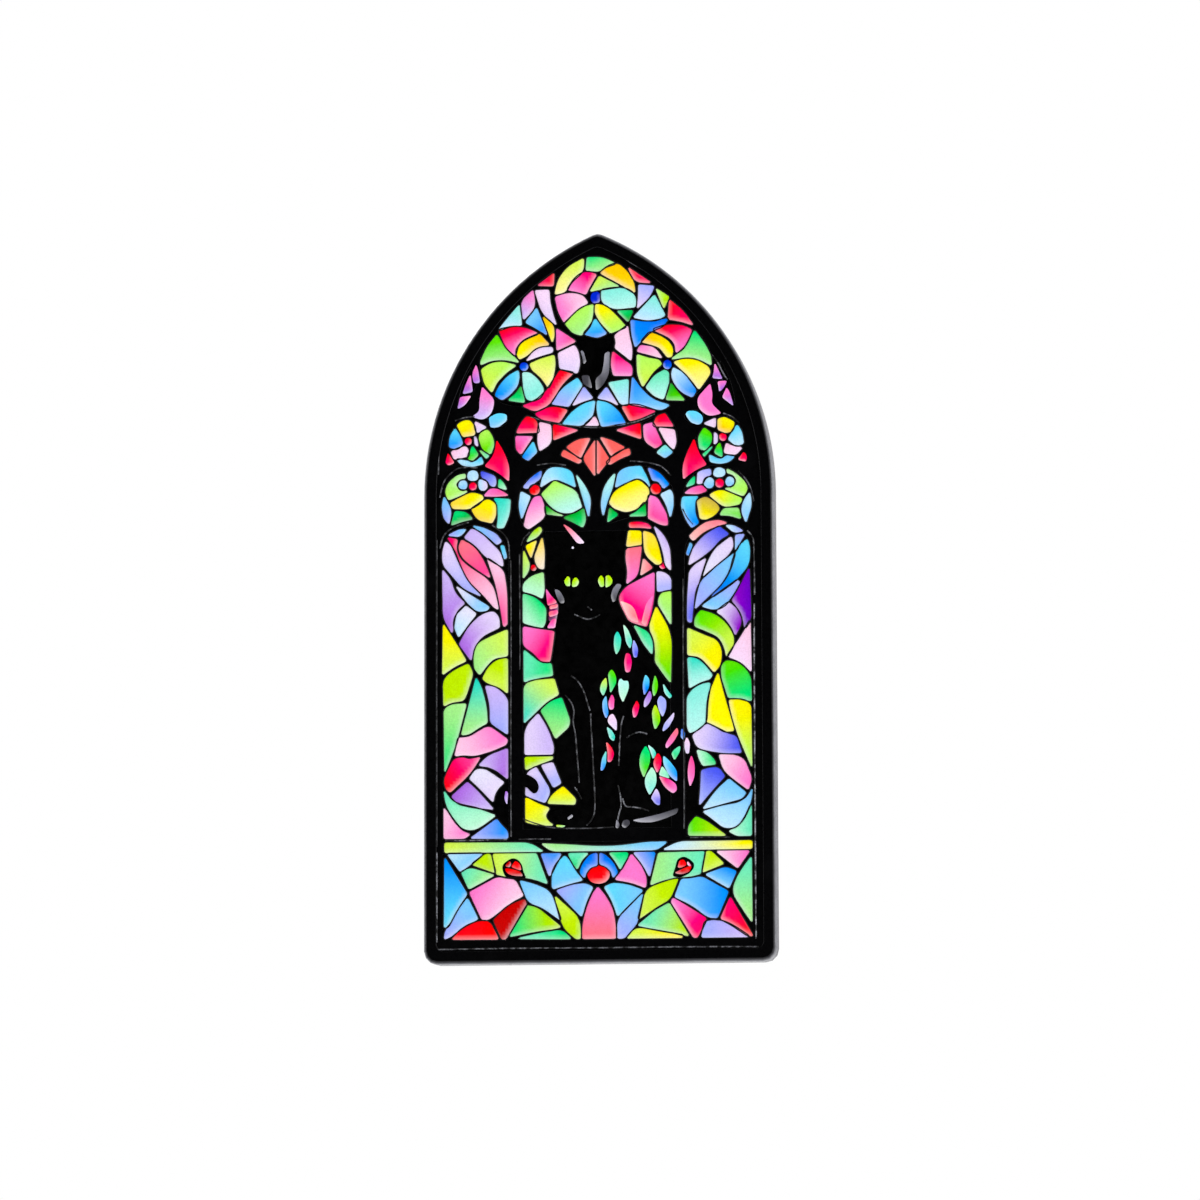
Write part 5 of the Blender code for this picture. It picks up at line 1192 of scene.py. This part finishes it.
class PIN_OT_casting(bpy.types.Operator):
    """Give the cast plate its rounded edges and black plating"""

    bl_idname = "window_pin.casting"
    bl_label = "Casting"

    FLAT = 0.999
    OUTER_SPAN, OUTER_REACH = 1.6, 0.25

    def execute(self, context):
        colours = settings().colours
        mesh = bmesh.new()
        mesh.from_mesh(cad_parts["cast_plate"].data)
        bmesh.ops.remove_doubles(mesh, verts=mesh.verts, dist=SAME_SPOT)
        bmesh.ops.dissolve_degenerate(mesh, edges=mesh.edges, dist=SAME_SPOT / 10)
        bmesh.ops.recalc_face_normals(mesh, faces=mesh.faces)
        casting = show("casting", mesh, black_lacquer(colours.plating, colours.wall_sheen))
        round_edges(casting, settings().metal.casting_round, segments=2, round_over=35, smooth_under=50)
        mesh = bmesh.new()
        mesh.from_mesh(casting.data)
        for face in mesh.faces:
            face.smooth = abs(face.normal.y) < self.FLAT
        # Limits the walls' painted sheen to the plate's outer edge.
        self.mark_outer(mesh)
        mesh.to_mesh(casting.data)
        mesh.free()
        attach(casting, "pin")
        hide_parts("cast_plate")
        return {"FINISHED"}

    def mark_outer(self, mesh):
        """Stores how near each point is to the plate's outline, which bulges outwards all the way round."""
        outer = mesh.verts.layers.float.new("outer")
        mesh.verts.ensure_lookup_table()
        spots = np.array([(vert.co.x / MM, vert.co.z / MM) for vert in mesh.verts])
        hull = spots[geometry.convex_hull_2d([Vector(spot) for spot in spots])]
        distances = edge_distances(spots, hull, np.roll(hull, -1, 0)).min(1)
        for vert, distance in zip(mesh.verts, distances):
            vert[outer] = min(1.0, max(0.0, self.OUTER_SPAN - distance / self.OUTER_REACH))


class PIN_OT_panes(bpy.types.Operator):
    """Fill each pocket of the window with its ground and its fired panes"""

    bl_idname = "window_pin.panes"
    bl_label = "Fired panes"

    def execute(self, context):
        finish = fired_glass()
        for region, slot in ((region, slot) for slot, regions in GLASS.items() for region in regions):
            mesh = bmesh.new()
            tint = mesh.verts.layers.float_color.new("tint")
            pale = mesh.verts.layers.float.new("pale")
            mesh.from_mesh(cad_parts[region + "_enamel"].data)
            bmesh.ops.remove_doubles(mesh, verts=mesh.verts, dist=SAME_SPOT)
            for vert in mesh.verts:
                vert[tint] = (*TINTS["black"], 1)
            for pane in PANE_SETS[region]:
                pane.lay(mesh, settings().panes, (tint, pale))
            bmesh.ops.recalc_face_normals(mesh, faces=mesh.faces)
            glass = show(region + "_glass", mesh, finish)
            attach(glass, "pin")
            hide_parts(region + "_enamel")
        return {"FINISHED"}


class PIN_OT_leading(bpy.types.Operator):
    """Run a black line round every leaded pane"""

    bl_idname = "window_pin.leading"
    bl_label = "Leading"

    def execute(self, context):
        sizes = settings().panes
        finish = leading(settings().colours.plating)
        depth = TRACERY_TOP + sizes.pane_proud / MM
        for region, panes in PANE_SETS.items():
            paths = [
                [front(p.x, p.y, depth + pane.lift * LIFT) for p in grown(pane.outline, sizes.lead_offset / MM)]
                for pane in panes if pane.leaded
            ]
            if not paths:
                continue
            lines = wired(region + "_leading", paths, sizes.lead_radius, sizes.lead_sides, finish, closed=True)
            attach(lines, "pin")
        return {"FINISHED"}


class PIN_OT_glints(bpy.types.Operator):
    """Run the thin raised edges, with painted highlights, along the tracery, the rim and the cat"""

    bl_idname = "window_pin.glints"
    bl_label = "Painted glints"

    RIM_INSIDE = 10.2
    TRACERY_LINE, RIM_LINE = 1.878, 1.948

    def execute(self, context):
        sizes, colours = settings().panes, settings().colours
        paths, strengths = [], []
        for (strength,), corners in read_shapes(GLINTS):
            steps = 6 * (len(corners) - 1)
            path = [through(corners, step / steps) for step in range(steps + 1)]
            depth = self.TRACERY_LINE if abs(corners[0][0]) < self.RIM_INSIDE else self.RIM_LINE
            paths.append([front(p.x, p.y, depth) for p in path])
            strengths.append(float(strength))
        finish = glinting_edge(colours.plating, colours.wear_and_glint)
        edges = wired("painted_glint_edges", paths, sizes.glint_radius, sizes.lead_sides, finish, strengths)
        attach(edges, "pin")
        return {"FINISHED"}


class PIN_OT_posts(bpy.types.Operator):
    """Turn the two posts, with their solder fillets and clutch grooves"""

    bl_idname = "window_pin.posts"
    bl_label = "Posts"

    TIP_FLAT, TIP_CHAMFER = 0.12 * MM, 0.1 * MM
    SHOULDER = 1.3 * MM
    GROOVE_START, GROOVE_END = 0.4 * MM, 0.9 * MM
    FILLET_DIP = 0.3
    CORNER = 0.05 * MM

    def execute(self, context):
        sizes = settings().metal
        for place in ("lower", "upper"):
            low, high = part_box(place + "_post")
            axis = Vector(((low.x + high.x) / 2, 0, (low.z + high.z) / 2))
            pad, end, shaft = (high.x - low.x) / 2, high.y, sizes.post_radius
            groove, waist = sizes.groove_depth, shaft - sizes.groove_depth
            shoulder = end - self.SHOULDER
            start, stop = shoulder - self.GROOVE_START, shoulder - self.GROOVE_END
            solder, dip = sizes.fillet, sizes.fillet * self.FILLET_DIP
            profile = rounded([
                (0, end), (self.TIP_FLAT, end - self.TIP_CHAMFER), (shaft, shoulder), (shaft, start),
                (waist, start - groove), (waist, stop), (shaft, stop - groove), (shaft, solder),
                (shaft + dip, dip), (shaft + solder, 0), (pad, 0), (pad, low.y), (0, low.y),
            ], self.CORNER)
            mesh = bmesh.new()
            lathed(mesh, profile, sizes.turned_sides // 2, axis, closed=False)
            bmesh.ops.recalc_face_normals(mesh, faces=mesh.faces)
            smooth_by_angle(mesh, 40)
            post = show(place + "_turned_post", mesh, nickel())
            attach(post, "pin")
            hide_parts(place + "_post")
        return {"FINISHED"}


class PIN_OT_clutches(bpy.types.Operator):
    """Stamp the two butterfly clutches: knurled cups with folded tabs, and their spring wings"""

    bl_idname = "window_pin.clutches"
    bl_label = "Clutches"

    BOSS_RADIUS, BOSS_RISE, HOLE_RADIUS = 2.5 * MM, 0.45 * MM, 0.88 * MM
    CUP_CORNER = 0.1 * MM
    # How far inside the cup's radius each point of its curled rim is, and how high.
    RIM = [(0.75, None), (0.55, 1.05), (0.3, 1.2), (0.05, 1.0), (0, 0.65), (0.2, 0.12), (0.5, 0)]
    KNURL = [(0.56, 0.98), (0.44, 1.09), (0.3, 1.13), (0.18, 1.06), (0.1, 0.94)]
    KNURL_RADIUS, KNURL_SIDES = 0.055 * MM, 6

    HEEL_RISE = 1.0 * MM
    TAB_GAP, TAB_SHEET, TAB_ROOT = 0.14 * MM, 0.24 * MM, 0.15 * MM
    TAB_LEG, TAB_REACH, TAB_HALF_WIDTH, TAB_ROUND = 1.89 * MM, 0.75 * MM, 0.95 * MM, 0.07 * MM

    # The wing's middle line in millimetres: out from the post, up from the heel, and half its width.
    WING = [
        (0.78, -0.62, 1.0), (1.065, -0.372, 1.75), (1.35, 0, 1.75), (1.7, 0.3, 1.65), (2.61, 1.435, 2.1),
        (3.582, 2.706, 2.883), (4.23, 3.567, 3.1), (4.698, 3.977, 2.542), (4.95, 4.1, 1.55),
    ]
    WING_ACROSS, WING_ROUND = 16, 0.06 * MM
    RIB_PRESS, RIB_HALF_WIDTH, RIB_START, RIB_LENGTH = 0.12, 0.55, 0.42, 0.5

    def execute(self, context):
        for place in ("lower", "upper"):
            self.stamp_cup(place)
            for side_name, side in (("left", -1), ("right", 1)):
                self.fold_wing(place, side_name, side)
        return {"FINISHED"}

    def stamp_cup(self, place):
        sizes = settings().metal
        low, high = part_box(place + "_clutch_cup")
        axis = Vector(((low.x + high.x) / 2, low.y, (low.z + high.z) / 2))
        radius, sheet = (high.x - low.x) / 2, sizes.sheet
        boss, hole, rise = self.BOSS_RADIUS, self.HOLE_RADIUS, self.BOSS_RISE
        top = sheet + rise
        rim = [(radius - inward * MM, sheet if height is None else height * MM) for inward, height in self.RIM]
        profile = rounded([
            (hole, top), (boss, top), (boss + rise, sheet), *rim,
            (boss + 0.25 * MM, 0), (boss - 0.2 * MM, rise), (hole, rise),
        ], self.CUP_CORNER, closed=True)
        mesh = bmesh.new()
        lathed(mesh, profile, sizes.turned_sides, axis, closed=True)
        bmesh.ops.recalc_face_normals(mesh, faces=mesh.faces)
        smooth_by_angle(mesh, 40)
        cup = show(place + "_stamped_cup", mesh, nickel())
        tabs = self.fold_tabs(place, axis, top)
        knurls = self.knurl_rim(place, axis, radius)
        for piece in (cup, tabs, knurls):
            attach(piece, place + "_clutch")
        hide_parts(place + "_clutch_cup")

    def knurl_rim(self, place, axis, radius):
        """Short ridges pressed up round the curled rim."""
        count = settings().metal.knurls
        ridges = []
        for step in range(count):
            turn = 2 * math.pi * step / count
            out = Vector((math.cos(turn), 0, math.sin(turn)))
            ridges.append([
                axis + out * (radius - inward * MM) + Vector((0, height * MM, 0)) for inward, height in self.KNURL
            ])
        return wired(place + "_rim_knurls", ridges, self.KNURL_RADIUS, self.KNURL_SIDES, nickel())

    def fold_tabs(self, place, axis, top):
        """The two tabs folded over the wings' necks, with rounded edges."""
        under = top + self.HEEL_RISE + settings().metal.wing_sheet / 2 + self.TAB_GAP
        over, leg, reach, half = under + self.TAB_SHEET, self.TAB_LEG, self.TAB_REACH, self.TAB_HALF_WIDTH
        back, root = leg + self.TAB_SHEET, top - self.TAB_ROOT
        hook = [(leg, root), (back, root), (back, over), (leg - reach, over), (leg - reach, under), (leg, under)]
        mesh = bmesh.new()
        for side in (1, -1):
            ends = [
                [mesh.verts.new(axis + Vector((x, height, side * across))) for across, height in hook]
                for x in (-half, half)
            ]
            for end in ends:
                mesh.faces.new(end)
            for a, b, c, d in zip(ends[0], ends[0][1:] + ends[0][:1], ends[1][1:] + ends[1][:1], ends[1]):
                mesh.faces.new((a, b, c, d))
        bmesh.ops.recalc_face_normals(mesh, faces=mesh.faces)
        tabs = show(place + "_folded_tabs", mesh, nickel())
        round_edges(tabs, self.TAB_ROUND)
        return tabs

    def fold_wing(self, place, side_name, side):
        """One spring wing: a jaw by the post, the heel it turns on, and a flared blade with a pressed rib."""
        sizes = settings().metal
        cup_low, cup_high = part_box(place + "_clutch_cup")
        axis = Vector(((cup_low.x + cup_high.x) / 2, cup_low.y, (cup_low.z + cup_high.z) / 2))
        heel = (sizes.sheet + self.BOSS_RISE + self.HEEL_RISE) / MM
        widest = max(half for _, _, half in self.WING)
        rows, steps = [], 6 * (len(self.WING) - 1)
        mesh = bmesh.new()
        for step in range(steps + 1):
            share = step / steps
            x, height, half = through(self.WING, share)
            x = min(max(x, self.WING[0][0]), self.WING[-1][0])
            half = min(half, widest)
            along = min(max((share - self.RIB_START) / self.RIB_LENGTH, 0), 1)
            rib = self.RIB_PRESS * max(0.0, math.sin(math.pi * along))
            row = []
            for column in range(self.WING_ACROSS + 1):
                w = 2 * column / self.WING_ACROSS - 1
                press = rib * math.exp(-((w * half / self.RIB_HALF_WIDTH) ** 2))
                row.append(mesh.verts.new(axis + Vector((side * x, heel + height - press, w * half)) * MM))
            rows.append(row)
        for near, far in zip(rows, rows[1:]):
            for a, b, c, d in zip(near, near[1:], far[1:], far):
                mesh.faces.new((a, b, c, d))
        bmesh.ops.recalc_face_normals(mesh, faces=mesh.faces)
        blade = show(f"{place}_{side_name}_blade", mesh, nickel())
        solidify = blade.modifiers.new("sheet", "SOLIDIFY")
        solidify.thickness = sizes.wing_sheet
        solidify.offset = 0
        solidify.use_even_offset = True
        round_edges(blade, self.WING_ROUND)
        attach(blade, f"{place}_{side_name}_wing")
        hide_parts(f"{place}_clutch_{side_name}_wing")


class PIN_OT_stage(bpy.types.Operator):
    """Lay the pale floor and set up the soft light and the camera"""

    bl_idname = "window_pin.stage"
    bl_label = "Stage"

    AZIMUTH = 7.345
    ELEVATION = -7.082
    ROLL = -0.181
    DISTANCE = 0.4023
    LENS = 177.594
    ENAMEL_RISE = 0.12 * MM
    SHIFT_RIGHT, SHIFT_DOWN = 0.124 * MM, 0.357 * MM
    FLOOR_DROP, FLOOR_HALF = 0.05, 3.0

    def execute(self, context):
        self.lay_floor()
        self.light_world(context.scene)
        self.hang_lights()
        self.place_camera(context.scene)
        context.scene.view_settings.view_transform = "Standard"
        return {"FINISHED"}

    def lay_floor(self):
        """Pale card, well under the pin."""
        mesh = bmesh.new()
        bmesh.ops.create_grid(mesh, x_segments=8, y_segments=8, size=self.FLOOR_HALF)
        bmesh.ops.translate(mesh, verts=mesh.verts, vec=(0, 0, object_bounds()[0].z - self.FLOOR_DROP))
        show("floor", mesh, pale_board(settings().colours.floor))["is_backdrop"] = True

    def light_world(self, scene):
        """White where the camera sees it. As light it is a soft tent that is dim straight ahead of the pin."""
        world = bpy.data.worlds.new("soft_tent")
        scene.world = world
        world.use_nodes = True
        net = Net(world.node_tree)
        world.node_tree.nodes.clear()
        aside, behind, above = net.split(net.add("ShaderNodeTexCoord", output="Generated"))
        front_tent = net.spread(behind, -0.86, -0.45, 0.0, 0.86) * (1.0 + aside * 0.35)
        back_tent = net.spread(above, -0.35, 0.55, 0.18, 0.75)
        share = net.spread(behind, 0.0, 0.35)
        tent = front_tent * (1 - share) + back_tent * share
        seen = net.add("ShaderNodeLightPath", output="Is Camera Ray")
        strength = seen + (1 - seen) * tent
        background = net.add("ShaderNodeBackground", inputs={"Color": (1, 1, 1, 1), "Strength": strength})
        net.add("ShaderNodeOutputWorld", inputs={"Surface": background})

    def hang_lights(self):
        """Soft lights: name, place, width and power of each, all turned to the pin."""
        for name, place, size, power in (
            ("right_strip", (0.42, -0.14, 0.08), 0.30, 1.7),
            ("left_strip", (-0.42, -0.10, 0.05), 0.30, 1.5),
            ("top_box", (0.0, -0.16, 0.45), 0.35, 1.2),
            ("back_box", (-0.25, 0.45, 0.30), 0.30, 2.5),
        ):
            data = bpy.data.lights.new(name, "AREA")
            data.size = size
            data.energy = power
            lamp = bpy.data.objects.new(name, data)
            lamp.location = place
            lamp.rotation_euler = (-Vector(place)).to_track_quat("-Z", "Y").to_euler()
            bpy.context.scene.collection.objects.link(lamp)

    def place_camera(self, scene):
        """The camera as the photograph's stands: a long lens, a little to the right of the pin and below it."""
        azimuth, elevation, roll = map(math.radians, (self.AZIMUTH, self.ELEVATION, self.ROLL))
        flat = math.cos(elevation)
        back = Vector((math.sin(azimuth) * flat, -math.cos(azimuth) * flat, math.sin(elevation)))
        right = (-back).cross(Vector((0, 0, 1))).normalized()
        up = right.cross(-back)
        right, up = right * math.cos(roll) + up * math.sin(roll), up * math.cos(roll) - right * math.sin(roll)
        target = Vector((0, PLATE_HIGH.y - TRACERY_TOP * MM - self.ENAMEL_RISE, 0))
        place = target + back * self.DISTANCE + right * self.SHIFT_RIGHT - up * self.SHIFT_DOWN
        data = bpy.data.cameras.new("camera")
        data.lens = self.LENS
        data.clip_start = 0.01
        camera = bpy.data.objects.new("camera", data)
        camera.matrix_world = Matrix.Translation(place) @ Matrix((right, up, back)).transposed().to_4x4()
        scene.collection.objects.link(camera)
        scene.camera = camera


STEPS = (PIN_OT_casting, PIN_OT_panes, PIN_OT_leading, PIN_OT_glints, PIN_OT_posts, PIN_OT_clutches, PIN_OT_stage)


class PIN_PT_sidebar(bpy.types.Panel):
    """Lists the pin's pieces and their settings"""

    bl_label = "Enamel Pin"
    bl_idname = "PIN_PT_sidebar"
    bl_space_type = "VIEW_3D"
    bl_region_type = "UI"
    bl_category = "Enamel Pin"

    def draw(self, context):
        for step in STEPS:
            self.layout.operator(step.bl_idname)
        for group in (settings().panes, settings().metal, settings().colours):
            box = self.layout.box()
            for name in group.__annotations__:
                box.prop(group, name)


CLASSES = (PaneSizes, MetalSizes, Colours, PinSettings, *STEPS, PIN_PT_sidebar)


def register():
    for made_class in CLASSES:
        bpy.utils.register_class(made_class)
    bpy.types.Scene.window_pin = bpy.props.PointerProperty(type=PinSettings)


def unregister():
    del bpy.types.Scene.window_pin
    for made_class in reversed(CLASSES):
        bpy.utils.unregister_class(made_class)


def main():
    register()
    for step in STEPS:
        getattr(bpy.ops.window_pin, step.bl_idname.split(".")[1])()


if __name__ == "__main__":
    main()
